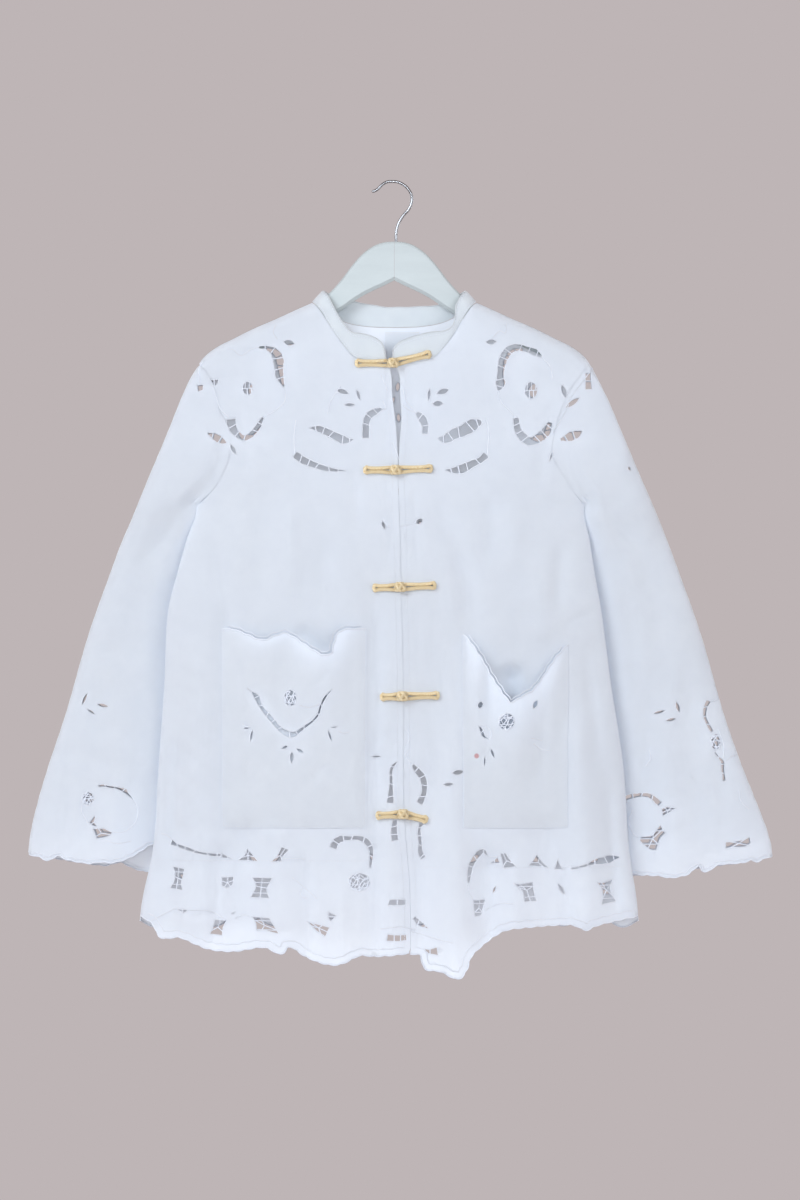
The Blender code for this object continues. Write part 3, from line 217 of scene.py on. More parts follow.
POCKETS = {
    "pocket_left": {
        "left": -202, "right": -30, "bottom": 772,
        "mouth": (
            (-202, 536), (-186, 537), (-169, 543), (-152, 549), (-135, 543), (-122, 542), (-91, 561), (-78, 567),
            (-70, 564), (-66, 548), (-58, 537), (-30, 535),
        ),
        "bulges": ((-80, 566, 11, 26, 60), (-152, 548, 6, 20, 50)),
    },
    "pocket_right": {
        "left": 85, "right": 211, "bottom": 772,
        "mouth": (
            (85, 541), (96, 553), (110, 577), (124, 601), (136, 619), (142, 624), (152, 618), (168, 608), (182, 590),
            (195, 571), (211, 554),
        ),
        "bulges": ((150, 618, 12, 26, 60), (148, 560, 6, 50, 130), (98, 585, 9, 12, 60)),
    },
}
POCKET_SLACK = 1.8
POCKET_EDGE_RUN = 24.0
POCKET_REST = 0.75
POCKET_STITCH_INSET = 2.5
CREASE_DEPTH = 1.4
# Where the front sinks back behind a mouth that gapes. Columns: route, half width, height, runs out at the hem.
MOUTH_HOLLOWS = (
    (((141, 572), (144, 600), (146, 650)), 16, -14, False), (((-114, 530), (-96, 545), (-74, 566)), 10, -6, False),
)

# Upper edge of the collar over each row of the neck seam. Columns: across, down, depth.
COLLAR_LEFT = (
    (-5, 212, -16.5), (-8, 199, -16.5), (-14, 190.5, -16.5), (-24, 185, -16.5), (-38, 181.5, -16.5),
    (-48, 178.5, -16.5), (-58, 167.5, -16), (-66, 155, -15.5), (-73, 141, -13), (-78, 133.5, -9),
)
COLLAR_LEFT_FOLD = (-81, 130, 0)
COLLAR_BACK = (
    (-76, 132, 9), (-62, 138, 13), (-43, 142, 14), (-20, 146, 14.5), (4, 149, 14.5), (28, 148, 14.5), (52, 146, 14),
    (70, 141, 13), (83, 133.5, 9),
)
COLLAR_RIGHT_FOLD = (88.5, 131, 0)
COLLAR_RIGHT = (
    (2, 203, -16.5), (9, 193, -16.5), (21, 187, -16.5), (34, 183, -16.5), (50, 179, -16.5), (64, 178.5, -17),
    (73, 173, -16.5), (76.5, 161, -15.5), (78, 148, -13), (84, 136, -9),
)
COLLAR_WALL = 2.0
LABEL = (-7, 34, 178, 212)  # left, right, top, bottom

# Columns: across, top, bottom of one hanger arm, as distances from the middle
HANGER_ARM = (
    (0.15, 70, 117), (12, 71, 123), (24, 75, 128.5), (37, 84, 135), (50, 98, 143), (62, 114, 151.5), (76, 130, 159.5),
    (92, 144, 167.5), (112, 155.5, 177), (140, 166, 190), (168, 178, 203), (192, 190, 214), (210, 201, 222),
    (218, 211, 220),
)
# Columns: across, down. The middle of the hook's wire, from its tip to the wood.
HOOK_LINE = (
    (-23, 10.4), (-19.5, 9.4), (-15.6, 7), (-10.4, 1.8), (-5, -1.2), (0, -1.8), (9, -0.9), (18, 4.3), (24, 13),
    (24.8, 22.6), (21.2, 31.6), (14, 40), (8.6, 49.6), (6.2, 60), (6, 71),
)
# Columns: ball across, ball down, end of the left loop, end of the right loop
FROGS = (
    ((2.5, 217), (-42, 217), (47, 206)), ((5.5, 345), (-32, 345), (49, 343)), ((11, 485), (-21, 486), (53, 483)),
    ((13.5, 615), (-12, 616), (57, 614)), ((14.5, 755), (-17, 757), (43, 762)),
)
CORD_SPREAD = (2.7, 2.1, 2.2, 3.2)  # half distance of the two cords, from the ball to the end
BALL_RADIUS = 6.5
KNOT_CORD_RADIUS = 1.75
KNOT_SINK, CORE_SINK = 1.2, 2.2  # how far the cord's middle and the core lie under the ball's surface
NET_STEP = 4.2

# Cut leaves. Columns: across, down, length, width, turn in degrees (rising to the right above zero)
FRONT_LEAVES = (
    (-122, 192.5, 14.5, 7.5, -12), (-189, 320, 14.5, 5.5, -62), (120, 191.5, 13.5, 7, 2), (207, 250.5, 18, 6.5, -72),
    (192, 328, 14.5, 3.5, 72), (-58, 251, 17, 6.5, -17), (-39, 255, 15.5, 4.5, -72), (-49.5, 267, 14, 5, 0),
    (45.5, 254.5, 16, 4.5, 85), (62, 251, 16, 7.5, 18), (56, 265.5, 13.5, 7.5, 4), (-9, 411, 12, 5, -70),
    (34, 406.5, 10, 6.5, 40), (-17.5, 687, 14.5, 3.5, 2), (79.5, 705.5, 14.5, 6.5, 8), (68.5, 720, 12.5, 5, 4),
    (-188, 873.5, 5.5, 2.5, 25), (203, 845, 16.5, 5.5, -58), (123.5, 845.5, 10, 3.5, 68),
)
# Cut bands. Rows: across, down and width from end to end
FRONT_BANDS = (
    (
        (-158, 198, 3), (-149, 198.5, 5.5), (-140, 203, 10.5), (-135, 212, 13.5), (-134, 222.5, 11), (-133, 233, 9.5),
        (-127.5, 246, 2),
    ),
    (
        (-191.5, 283.5, 12), (-190.5, 291, 10.5), (-186, 300, 8.5), (-176, 306.5, 7), (-166.5, 302, 7),
        (-159, 293, 7), (-153, 281.5, 3.5),
    ),
    (
        (180.5, 209.5, 3.5), (172.5, 204, 8.5), (163, 200.5, 7.5), (151.5, 198, 8.5), (141.5, 201.5, 10.5),
        (135, 211, 10.5), (132, 222.5, 9), (131, 233, 8.5), (131, 241.5, 12), (128.5, 250, 3),
    ),
    (
        (149.5, 282.5, 7), (151.5, 295.5, 8.5), (157.5, 305, 10.5), (166.5, 310.5, 10), (176, 307, 11),
        (184.5, 300, 12), (189, 293.5, 10), (191, 287, 6),
    ),
    ((-11.5, 271.5, 3.5), (-19.5, 275.5, 8.5), (-26.5, 280.5, 9), (-29.5, 289, 8.5), (-30, 299, 8.5), (-30, 307, 9)),
    ((30.5, 276.5, 3.5), (35, 280.5, 8.5), (39.5, 287, 9), (41, 294.5, 7.5), (40.5, 302, 7)),
    (
        (-97, 294.5, 2), (-87, 295.5, 7.5), (-76.5, 299.5, 8.5), (-66.5, 304.5, 9), (-57, 309, 10.5),
        (-49.5, 309.5, 5), (-44.5, 308.5, 1),
    ),
    ((-115, 326, 9), (-104.5, 333.5, 9), (-92, 339, 7.5), (-78, 343.5, 6.5), (-65.5, 345.5, 4), (-53.5, 345.5, 1)),
    ((57, 306.5, 3), (65, 308, 10.5), (75.5, 302, 13), (87, 297.5, 14), (98, 291, 15), (108.5, 287, 5)),
    ((65, 345, 1.5), (75, 345.5, 7.5), (85.5, 343.5, 11), (96.5, 338, 9), (106.5, 333.5, 7.5), (114.5, 326.5, 9)),
    (
        (-262, 790, 6.5), (-253.5, 793.5, 4), (-242.5, 797, 4.5), (-230, 801, 3.5), (-215, 803.5, 3.5),
        (-203, 804.5, 3.5),
    ),
    (
        (-68.5, 796, 8), (-66, 789, 8.5), (-58.5, 784.5, 8), (-50, 784, 5), (-40, 783.5, 5.5), (-31.5, 786.5, 7),
        (-25.5, 793.5, 7), (-23.5, 801.5, 5.5), (-24, 809.5, 4.5), (-25, 819.5, 3.5),
    ),
    (
        (8, 693, 1.5), (3, 698, 4), (0.5, 704.5, 4.5), (0.5, 714, 4.5), (0.5, 723.5, 5), (0, 733.5, 7),
        (-0.5, 742.5, 8.5),
    ),
    ((5, 761.5, 5.5), (4, 771, 7), (4, 779.5, 8), (5, 787, 8.5)),
    (
        (26, 696.5, 3.5), (31, 703.5, 7.5), (37, 711, 8), (39.5, 720, 7.5), (39.5, 728.5, 6.5), (37.5, 736, 7.5),
        (33.5, 743, 8),
    ),
    ((37.5, 764.5, 6.5), (34, 772, 4), (34, 781, 5), (35, 791, 4.5), (35, 799.5, 6.5), (39, 808, 7.5)),
    ((27, 878.5, 4), (33.5, 885, 6.5), (45, 891.5, 1)),
    (
        (92, 837, 3), (92.5, 828, 5), (94.5, 817.5, 6.5), (99, 808.5, 6.5), (104, 802.5, 7), (110, 799, 5.5),
        (115, 804.5, 2),
    ),
    (
        (215.5, 820.5, 3), (225.5, 818.5, 3.5), (236, 815.5, 4), (243.5, 812.5, 7), (252, 811.5, 8.5),
        (260, 810, 9.5), (267.5, 808.5, 5.5), (273.5, 808, 1),
    ),
)
# Cut shapes with corners. Rows: across and down of each corner
FRONT_BLOCKS = (
    ((-215.5, 236.5), (-206.5, 236), (-207, 241.5), (-212, 245.5), (-217, 241)),
    ((-201.5, 802.5), (-188, 809.5), (-202, 808)),
    ((-171, 796.5), (-166.5, 801.5), (-157.5, 812), (-182.5, 811.5), (-174, 804)),
    ((-130, 794), (-121.5, 798), (-129.5, 807), (-130, 812), (-142.5, 812), (-135, 804.5)),
    (
        (-260, 818.5), (-245.5, 821), (-247.5, 830.5), (-249.5, 838.5), (-248, 846.5), (-263, 844.5), (-258, 835),
        (-257, 826.5),
    ),
    ((-201.5, 831), (-188, 830.5), (-188.5, 840), (-195.5, 844.5), (-201.5, 841)),
    (
        (-164.5, 831), (-140.5, 831), (-145.5, 841), (-147.5, 846), (-144, 855.5), (-166.5, 855), (-161, 844),
        (-161, 838),
    ),
    ((-255, 869), (-240.5, 869.5), (-246.5, 874)),
    ((-210.5, 881.5), (-196, 882.5), (-200, 891), (-201, 900.5), (-216.5, 898.5), (-212.5, 890.5)),
    ((-165, 877.5), (-144.5, 878.5), (-139, 887.5), (-133, 898), (-148.5, 894), (-159.5, 894.5), (-160.5, 885.5)),
    ((-100, 883), (-90, 885.5), (-73, 890), (-78, 901), (-88.5, 894)),
    ((-74.5, 871), (-64.5, 875.5), (-71.5, 883.5), (-74.5, 878.5)),
    ((-1, 856.5), (17.5, 856.5), (17, 864), (-3, 863.5)),
    ((-3.5, 898), (8, 899), (18, 898.5), (18.5, 905.5), (8, 906.5), (-4.5, 906)),
    ((37.5, 915.5), (46, 916.5), (55, 913.5), (56.5, 923.5), (45.5, 921.5)),
    ((130.5, 802.5), (136.5, 801.5), (142, 810), (149, 818), (135, 820.5), (133, 814)),
    ((117.5, 815), (127.5, 806), (130, 813.5)),
    ((173.5, 803.5), (179.5, 812), (189, 820.5), (175.5, 818), (164, 817), (169.5, 810)),
    ((199.5, 808.5), (201, 815), (205.5, 821.5), (195, 821.5)),
    (
        (245, 837.5), (255, 837.5), (265, 833.5), (261, 843.5), (262, 850), (268.5, 860.5), (251, 864), (252, 850.5),
        (251, 844),
    ),
    ((146, 837.5), (157, 838.5), (169, 836), (170, 846.5), (173.5, 859.5), (158.5, 860), (157, 848)),
    ((97.5, 858), (112.5, 857), (109, 868.5), (107, 876.5), (99.5, 877.5), (98, 868)),
)
# Wheels of thread in an oval hole. Columns: across, down, height, width, threads across (0 for a fine net)
FRONT_WHEELS = ((-171.5, 247, 17.5, 12.5, 4), (167.5, 249.5, 21.5, 15.5, 5), (-38, 836, 22, 26, 0))
# Raised satin lines. Rows: across and down
FRONT_SATIN = (
    ((-158, 198), (-167, 200), (-180, 208), (-188, 201), (-195, 200)),
    ((-127, 247), (-127, 262), (-136, 272), (-152, 281)), ((-212, 247), (-208, 262), (-204, 272), (-194, 282)),
    ((-136, 188), (-141, 180), (-138, 172)), ((-224, 214), (-230, 226), (-229, 240)),
    ((-114, 285), (-116, 305), (-115, 325)), ((114, 283), (117, 300), (115, 326)),
    ((-60, 243), (-72, 262), (-76, 278)), ((-12, 231), (-8, 240), (-4, 250)), ((-10, 262), (-6, 272), (-12, 271)),
    ((14, 248), (18, 262), (30, 275)), ((13, 266), (20, 272), (30, 276)), ((2, 312), (6, 322), (10, 333)),
    ((180, 210), (190, 220), (194, 236)), ((128, 251), (132, 264), (142, 274), (149, 282)),
    ((122, 186), (130, 178), (137, 181), (138, 170)), ((212, 262), (230, 238), (242, 222)),
    ((194, 300), (206, 280), (213, 266)), ((12, 412), (20, 411), (30, 408)), ((-9, 404), (-5, 411), (-2, 414)),
    ((-118, 830), (-104, 842), (-96, 848), (-88, 856)), ((-106, 843), (-108, 852), (-100, 856)),
    ((-128, 808), (-114, 808), (-102, 809)), ((18, 654), (22, 662), (20, 672)), ((22, 678), (17, 686), (24, 694)),
    ((-256, 868), (-272, 876), (-286, 884)), ((-240, 870), (-220, 870), (-206, 876), (-196, 882)),
    ((-186, 880), (-176, 876), (-165, 878)), ((-12, 892), (10, 889), (30, 893)), ((24, 895), (50, 902), (74, 908)),
    ((112, 870), (130, 862), (146, 862)), ((90, 838), (93, 848), (97, 857)), ((116, 805), (126, 806), (131, 803)),
    ((205, 822), (210, 818), (216, 820)), ((-262, 786), (-268, 781), (-274, 780)),
)
BACK_LEAVES = (
    (8, 244, 12, 5.5, 85), (2, 260, 9, 5, 60), (9, 281, 11, 5.5, 95), (-14, 262, 13, 6, 20), (26, 262, 13, 6, -20),
    (-165, 248, 18, 13, 90), (172, 249, 18, 13, 90), (-118, 196, 15, 7, -20), (124, 196, 15, 7, 20),
    (-52, 398, 18, 7, 25), (60, 398, 18, 7, -25), (4, 420, 20, 8, 90), (-30, 412, 16, 7, 55), (38, 412, 16, 7, 125),
)
BACK_BANDS = (
    ((-150, 199, 4), (-137, 204, 8), (-132, 220, 9), (-130, 242, 3)),
    ((158, 199, 4), (145, 204, 8), (139, 220, 9), (137, 242, 3)),
    ((-182, 288, 4), (-178, 303, 8), (-165, 305, 8), (-153, 290, 4)),
    ((190, 288, 4), (186, 303, 8), (173, 305, 8), (161, 290, 4)),
    ((-44, 336, 4), (-30, 360, 8), (4, 370, 9), (38, 360, 8), (52, 336, 4)),
)
BACK_BORDER_LEAVES = (24, 812, 15, 7)  # spacing, down, length, width of a row between the side seams
# Columns: spacing, down, half width at the top, half waist, half width at the bottom, height
BACK_BORDER_BLOCKS = (62, 842, 10, 4.5, 10, 24)
BACK_BORDER_REACH = 250
# The cutwork of pockets and sleeves, in the columns of the tables above
POCKET_CUTS = {
    "pocket_left": {
        "leaves": (
            (-170.5, 653, 9, 3.5, 15), (-165, 662, 16, 3.5, 78), (-126.5, 676, 9, 4.5, 22),
            (-118, 688, 14.5, 5.5, 88), (-108, 680, 11, 4.5, -30), (-72.5, 662, 15, 3.5, -72),
            (-67.5, 652, 8.5, 2.5, 10),
        ),
        "bands": (
            (
                (-170.5, 605, 1), (-164, 610.5, 2.5), (-159, 616, 7), (-155, 625.5, 4.5), (-148.5, 634.5, 5),
                (-141.5, 643, 5.5), (-133.5, 652.5, 5.5), (-126, 658.5, 7), (-117.5, 661, 7.5), (-110, 657.5, 5),
                (-102, 651.5, 4), (-93, 645, 3), (-86, 636.5, 3), (-83, 626.5, 3), (-77, 615, 3), (-69.5, 607, 1),
            ),
        ),
        "wheels": ((-119.5, 617.5, 20.5, 16, 0),),
        "satin": (
            ((-62, 657), (-56, 659), (-50, 658)), ((-84, 624), (-96, 628), (-108, 626)),
            ((-176, 648), (-172, 652), (-166, 652)),
        ),
    },
    "pocket_right": {
        "leaves": (
            (105.5, 625.5, 9, 6, 70), (169.5, 625, 11.5, 5.5, 62), (121, 683, 12.5, 3.5, -72),
            (111, 692.5, 13, 3, 85),
        ),
        "bands": (((105, 651, 1.5), (107.5, 656.5, 4), (110, 662.5, 3.5), (116, 666, 1)),),
        "wheels": ((136.5, 645.5, 21, 18, 0),),
        "satin": (
            ((165, 665), (172, 666), (179, 668)), ((168, 672), (178, 678), (188, 680)),
            ((104, 650), (114, 652), (119, 660), (117, 667)),
        ),
    },
}
SLEEVE_CUTS = {
    -1: {
        "leaves": ((-368, 619.5, 17, 4, 66), (-346, 627, 15.5, 5, -12), (-360.5, 634.5, 13.5, 3.5, -32)),
        "bands": (
            ((-219.5, 300.5, 2), (-211, 305, 9), (-203, 309.5, 8), (-197, 312.5, 2)),
            (
                (-351, 724, 3), (-346, 723, 3.5), (-339, 724.5, 3), (-331.5, 725.5, 3), (-324.5, 727.5, 4),
                (-320.5, 729, 6.5), (-317.5, 732, 4), (-310.5, 739, 1.5),
            ),
        ),
        "blocks": (
            ((-232, 243), (-224.5, 242), (-225, 249), (-231, 251)),
            ((-356, 759), (-353, 763.5), (-356, 766.5), (-351.5, 773), (-358, 772), (-362.5, 768)),
            ((-358, 775), (-344.5, 774), (-333.5, 779.5), (-339, 784.5), (-353.5, 787.5), (-355.5, 781)),
        ),
        "wheels": ((-364, 739, 17, 15, 0),),
        "satin": (
            ((-310, 739), (-304, 752), (-308, 768), (-320, 778), (-333, 779)),
            ((-366, 738), (-372, 752), (-364, 768)), ((-350, 786), (-330, 792), (-312, 790)),
        ),
    },
    1: {
        "leaves": (
            (217.5, 264, 22, 6.5, 37), (322, 635, 17, 4, 15), (344, 629, 15.5, 5, -72), (336, 644, 14, 4.5, 12),
            (410.5, 688, 7.5, 2, 3), (285, 343, 7, 4, 120),
        ),
        "bands": (
            ((203, 308.5, 3), (214, 305, 11), (223.5, 301.5, 9), (229, 298, 1.5)),
            (
                (381.5, 621.5, 6), (377.5, 630, 5), (377, 640.5, 4.5), (379, 646.5, 4), (382.5, 653.5, 4.5),
                (386, 659, 3.5),
            ),
            (
                (388.5, 683, 1.5), (394, 690, 2.5), (398.5, 695.5, 5), (398.5, 703, 4.5), (399.5, 710, 4),
                (400.5, 718, 5),
            ),
            (
                (281, 747.5, 1), (282, 740, 5), (285.5, 737, 6.5), (293, 735.5, 6), (300, 734.5, 5), (309, 735, 5.5),
                (315, 738, 6), (320.5, 743, 6.5), (324, 746, 6),
            ),
        ),
        "blocks": (
            ((232.5, 228.5), (239, 227.5), (241, 248), (232.5, 248.5)),
            ((325, 751), (331, 748.5), (342.5, 750), (336.5, 754.5), (326.5, 760)),
            (
                (323.5, 770), (330, 780.5), (323.5, 787), (319, 801), (312, 800.5), (305.5, 796), (298.5, 789.5),
                (299.5, 785), (313.5, 783.5), (318, 778),
            ),
            (
                (402, 791), (411.5, 790.5), (422.5, 788.5), (431, 785), (432.5, 793), (425.5, 797), (413.5, 797.5),
                (401.5, 798.5),
            ),
        ),
        "wheels": ((390, 671, 20, 13, 0),),
        "satin": (
            ((380, 621), (388, 622), (394, 618)), ((392, 655), (396, 664), (400, 678), (399, 690)),
            ((402, 694), (410, 688), (418, 686)), ((290, 752), (286, 768), (292, 782), (299, 786)),
            ((418, 728), (420, 742), (430, 752)), ((310, 680), (312, 690), (306, 700)),
        ),
    },
}

FRONT_CUTS = {
    "leaves": FRONT_LEAVES, "bands": FRONT_BANDS, "blocks": FRONT_BLOCKS, "wheels": FRONT_WHEELS,
    "satin": FRONT_SATIN,
}

# Tones, light and shade
COLLAR_TONES = ((0.68, 0.715, 0.72), (0.64, 0.675, 0.69))
LABEL_TONES = ((0.80, 0.83, 0.86), (0.76, 0.79, 0.83))
HOOK_TONES = ((0.36, 0.355, 0.36), (0.26, 0.26, 0.265))
STAIN_PLACE, STAIN_RADIUS = (0.102, -0.05, -0.686), 0.0036

# The studio, in metres
FLOOR_HEIGHT, FLOOR_REACH = -1.9, 3.4
LAMP_COLOUR = (0.785, 0.885, 0.99)
# Columns: name, place and aim from the middle of the picture, size, setting of its power, share of that power
LAMPS = (
    ("beside_camera", (-0.25, -5.6, 0.35), (0, 0, 0), 1.0, "front", 1),
    ("key", (-2.4, -3.4, 1.8), (0, 0, 0), 2.0, "key", 1),
    ("fill", (2.6, -3.6, 0.4), (0, 0, 0), 2.8, "key", 0.5),
    ("behind_left", (-2.3, 3.6, 0.6), (0, 0, -0.1), 2.0, "behind", 1),
    ("behind_right", (2.3, 3.6, 0.6), (0, 0, -0.1), 2.0, "behind", 1),
)


def clamped(value, low=0.0, high=1.0):
    return np.minimum(np.maximum(value, low), high)


def ease(value):
    value = clamped(value)
    return value * value * (3 - 2 * value)


def curve_through(rows, column=1):
    """A smooth function of a table's first column through one of its other columns."""
    at = np.array([row[0] for row in rows], float)
    value = np.array([row[column] for row in rows], float)
    steps = np.diff(value) / np.diff(at)
    slope = np.concatenate((steps[:1], (steps[1:] + steps[:-1]) / 2, steps[-1:]))

    def read(where):
        where = np.asarray(where, float)
        i = np.clip(np.searchsorted(at, where) - 1, 0, len(at) - 2)
        run = at[i + 1] - at[i]
        t = (where - at[i]) / run
        start = value[i] * (1 + 2 * t) * (1 - t) ** 2 + slope[i] * run * t * (1 - t) ** 2
        middle = start + value[i + 1] * t * t * (3 - 2 * t) + slope[i + 1] * run * t * t * (t - 1)
        low = value[0] + slope[0] * (where - at[0])
        high = value[-1] + slope[-1] * (where - at[-1])
        return np.where(where <= at[0], low, np.where(where >= at[-1], high, middle))

    return read


shoulder_line = curve_through(SHOULDER_LINE)
body_left, body_right, body_depth, body_side = (curve_through(BODY_SECTIONS, k) for k in (1, 2, 3, 4))
opening_left, opening_right = (curve_through(OPENING, k) for k in (1, 2))


def shoulder_down(across):
    return shoulder_line(np.abs(across - GARMENT_MIDDLE))


def along(route, across, down):
    """Distance of each point from a route of straight runs, and the share of its length to there."""
    lengths = [math.dist(a, b) for a, b in zip(route, route[1:])]
    gap = np.full(np.shape(across), 1e9)
    share = np.zeros(np.shape(across))
    done = 0.0
    for (ax, ad), (bx, bd), length in zip(route, route[1:], lengths):
        t = clamped(((across - ax) * (bx - ax) + (down - ad) * (bd - ad)) / length**2)
        here = np.hypot(across - ax - t * (bx - ax), down - ad - t * (bd - ad))
        nearer = here < gap
        gap = np.where(nearer, here, gap)
        share = np.where(nearer, (done + t * length) / sum(lengths), share)
        done += length
    return gap, share


def fold_height(folds, across, down):
    """How far folds lift the cloth."""
    height = np.zeros(np.shape(across))
    for route, half_width, lift, to_hem in folds:
        gap, share = along(route, across, down)
        ends = ease(share / 0.3) * (1.0 if to_hem else ease((1 - share) / 0.3))
        height += lift * ends * np.exp(-((gap / half_width) ** 2))
    return height


def ripple(across, down, seed):
    """A slight unevenness, from a few crossing waves that never repeat on the jacket."""
    waves = ((31.0, 0.7, 0.30), (47.0, 2.1, 0.45), (83.0, 1.3, 0.55), (19.0, 2.6, 0.14))
    height = np.zeros(np.shape(across))
    for k, (length, turn, size) in enumerate(waves):
        heading = turn + 0.37 * seed + 0.9 * np.sin(down / 190.0 + k + seed)
        height += size * np.sin((across * np.cos(heading) + down * np.sin(heading) * 0.35) / length * 6.28 + seed * 1.7)
    return height


def pocket_calm(across, down):
    """The share of a fold's height that is left: the doubled cloth of a pocket lies flatter."""
    share = np.zeros(np.shape(across))
    for sizes in POCKETS.values():
        top = max(sizes["mouth"][0][1], sizes["mouth"][-1][1])
        edge = np.minimum.reduce([across - sizes["left"], sizes["right"] - across, sizes["bottom"] - down, down - top])
        share = np.maximum(share, ease((edge + 14) / 28))
    return 1 - 0.7 * share


def top_round(across, down):
    """0 on the top line of the shoulders, 1 from TOP_ROUND below it."""
    fall = clamped((down - shoulder_down(across)) / TOP_ROUND)
    return np.sqrt(np.maximum(0.0, 1 - (1 - fall) ** 2))


def u_of(across, left, right):
    """The share of the way round from one edge to the other, -1 to 1."""
    return np.arcsin(clamped((2 * across - left - right) / (right - left), -1, 1)) * 2 / np.pi


def across_of(u, left, right):
    return (left + right) / 2 + (right - left) / 2 * np.sin(u * np.pi / 2)


class Body:
    """One side of the body, front or back. u runs from -1 at the left side seam to 1 at the right."""

    scale = 380.0

    def __init__(self, side, hollows=()):
        self.side = side
        self.facing = side
        self.hollows = hollows
        self.folds = FRONT_FOLDS if side == FRONT_SIDE else BACK_FOLDS
        self.creases = FRONT_CREASES if side == FRONT_SIDE else BACK_CREASES

    def to_u(self, across, down):
        return u_of(across, body_left(down), body_right(down))

    def depth(self, across, down, u=None):
        u = self.to_u(across, down) if u is None else u
        round_off = np.cos(u * np.pi / 2)
        top = top_round(across, down)
        fold = fold_height(self.folds, across, down)
        fine = CREASE_DEPTH * fold_height(self.creases, across, down)
        fine = fine + ripple(across, down, 1.0 + self.side) * ease((down - 200) / 90)
        if self.side == FRONT_SIDE:
            fold = fold * pocket_calm(across, down)
            fine = fine * pocket_calm(across, down)
        fold = fold + fold_height(self.hollows, across, down)
        fold = fold * ease(np.abs(round_off) / 0.4) + fine * ease(np.abs(round_off) / 0.4) * top**3
        return body_side(down) + self.side * (body_depth(down) * round_off * top + fold)

    def at(self, u, down):
        across = across_of(u, body_left(down), body_right(down))
        return np.stack((across, self.depth(across, down, u), -down), -1)

    def seam(self, u, down):
        """Points on a seam with the other side."""
        across = self.at(u, down)[:, 0]
        return (np.abs(u) > 0.9995) | (down - shoulder_down(across) < 0.05)


class Sleeve:
    """One side of a sleeve. u runs from -1 at its outer edge to 1 at its inner edge."""

    scale = 130.0

    def __init__(self, hand, side):
        self.hand, self.side = hand, side
        self.facing = side * -hand
        columns = (1, 2, 5, 6) if hand < 0 else (3, 4, 5, 6)
        self.outer, self.inner, self.half_depth, self.middle = (curve_through(SLEEVE_SECTIONS, k) for k in columns)
        self.armhole = [(row[1 if hand < 0 else 2], row[0]) for row in ARMHOLE]
        self.body = Body(side)
        self.folds, self.creases = (
            [
                ([(x if hand < 0 else 2 * GARMENT_MIDDLE - x, d) for x, d in route], width, lift, to_hem)
                for route, width, lift, to_hem in rows
            ]
            for rows in (SLEEVE_FOLDS, SLEEVE_CREASES)
        )

    def to_u(self, across, down):
        return u_of(across, self.outer(down), self.inner(down))

    def at(self, u, down):
        across = across_of(u, self.outer(down), self.inner(down))
        round_off = np.abs(np.cos(u * np.pi / 2))
        fold = fold_height(self.folds, across, down) + fold_height(self.creases, across, down)
        fold += ripple(across, down, 3.0 + self.hand + self.side) * 0.7
        own = self.middle(down) + self.side * (self.half_depth(down) * round_off + fold * ease(round_off / 0.4))
        share = ease(1 - (along(self.armhole, across, down)[0] - 2) / 24)
        joined = self.body.depth(across, down) - body_side(down)
        joined = body_side(down) + joined * np.minimum(1.0, 3 * round_off)
        return np.stack((across, own + share * (joined - own), -down), -1)

    def seam(self, u, down):
        return np.abs(u) > 0.9995


class Pocket:
    """A patch pocket: the front's own outer surface moved out, slack at the mouth."""

    scale = 1.0
    facing = FRONT_SIDE

    def __init__(self, name):
        self.sizes = POCKETS[name]
        self.creases = POCKET_CREASES[name]
        self.front = Body(FRONT_SIDE)

    def to_u(self, across, down):
        return across

    def lift(self, across, down):
        sizes = self.sizes
        edge = np.minimum.reduce([across - sizes["left"], sizes["right"] - across, sizes["bottom"] - down])
        slack = POCKET_SLACK + fold_height(self.creases, across, down)
        for at_across, at_down, height, half_width, run in sizes["bulges"]:
            fall = np.maximum(0.0, down - at_down) / run
            slack += height * np.exp(-(((across - at_across) / half_width) ** 2) - fall**2)
        return slack * ease(edge / POCKET_EDGE_RUN) - POCKET_REST * (1 - ease(edge / 10))

    def at(self, across, down):
        base, out = surface_points(self.front, self.front.to_u(across, down), down)
        return base + out * (WALL + PATCH_GAP + self.lift(across, down))[:, None]

    def seam(self, u, down):
        return np.zeros(np.shape(u), bool)


def surface_points(surface, u, down):
    """Points of a surface and the directions out of the cloth there."""
    u, down = np.asarray(u, float), np.asarray(down, float)
    step_u, step_down = 0.5 / surface.scale, 0.5
    point = surface.at(u, down)
    over = surface.at(u + step_u, down) - surface.at(u - step_u, down)
    fall = surface.at(u, down + step_down) - surface.at(u, down - step_down)
    out = np.cross(over, fall) * surface.facing
    on_seam = surface.seam(u, down)
    out[on_seam, 1] = 0.0
    return point, out / np.maximum(np.linalg.norm(out, axis=1, keepdims=True), 1e-9)


def on_surface(surface, line, offset):
    """Points (across, down) as places in space, offset out of the cloth."""
    line = np.asarray(line, float)
    point, out = surface_points(surface, surface.to_u(line[:, 0], line[:, 1]), line[:, 1])
    return point + out * offset


def laid(surface, lines, offset):
    """Flat lines, a list of (points, closed), as lines in space on a surface."""
    ends = np.cumsum([len(line) for line, _ in lines])[:-1]
    places = on_surface(surface, np.concatenate([line for line, _ in lines]), offset)
    return [(part, closed) for part, (_, closed) in zip(np.split(places, ends), lines)]


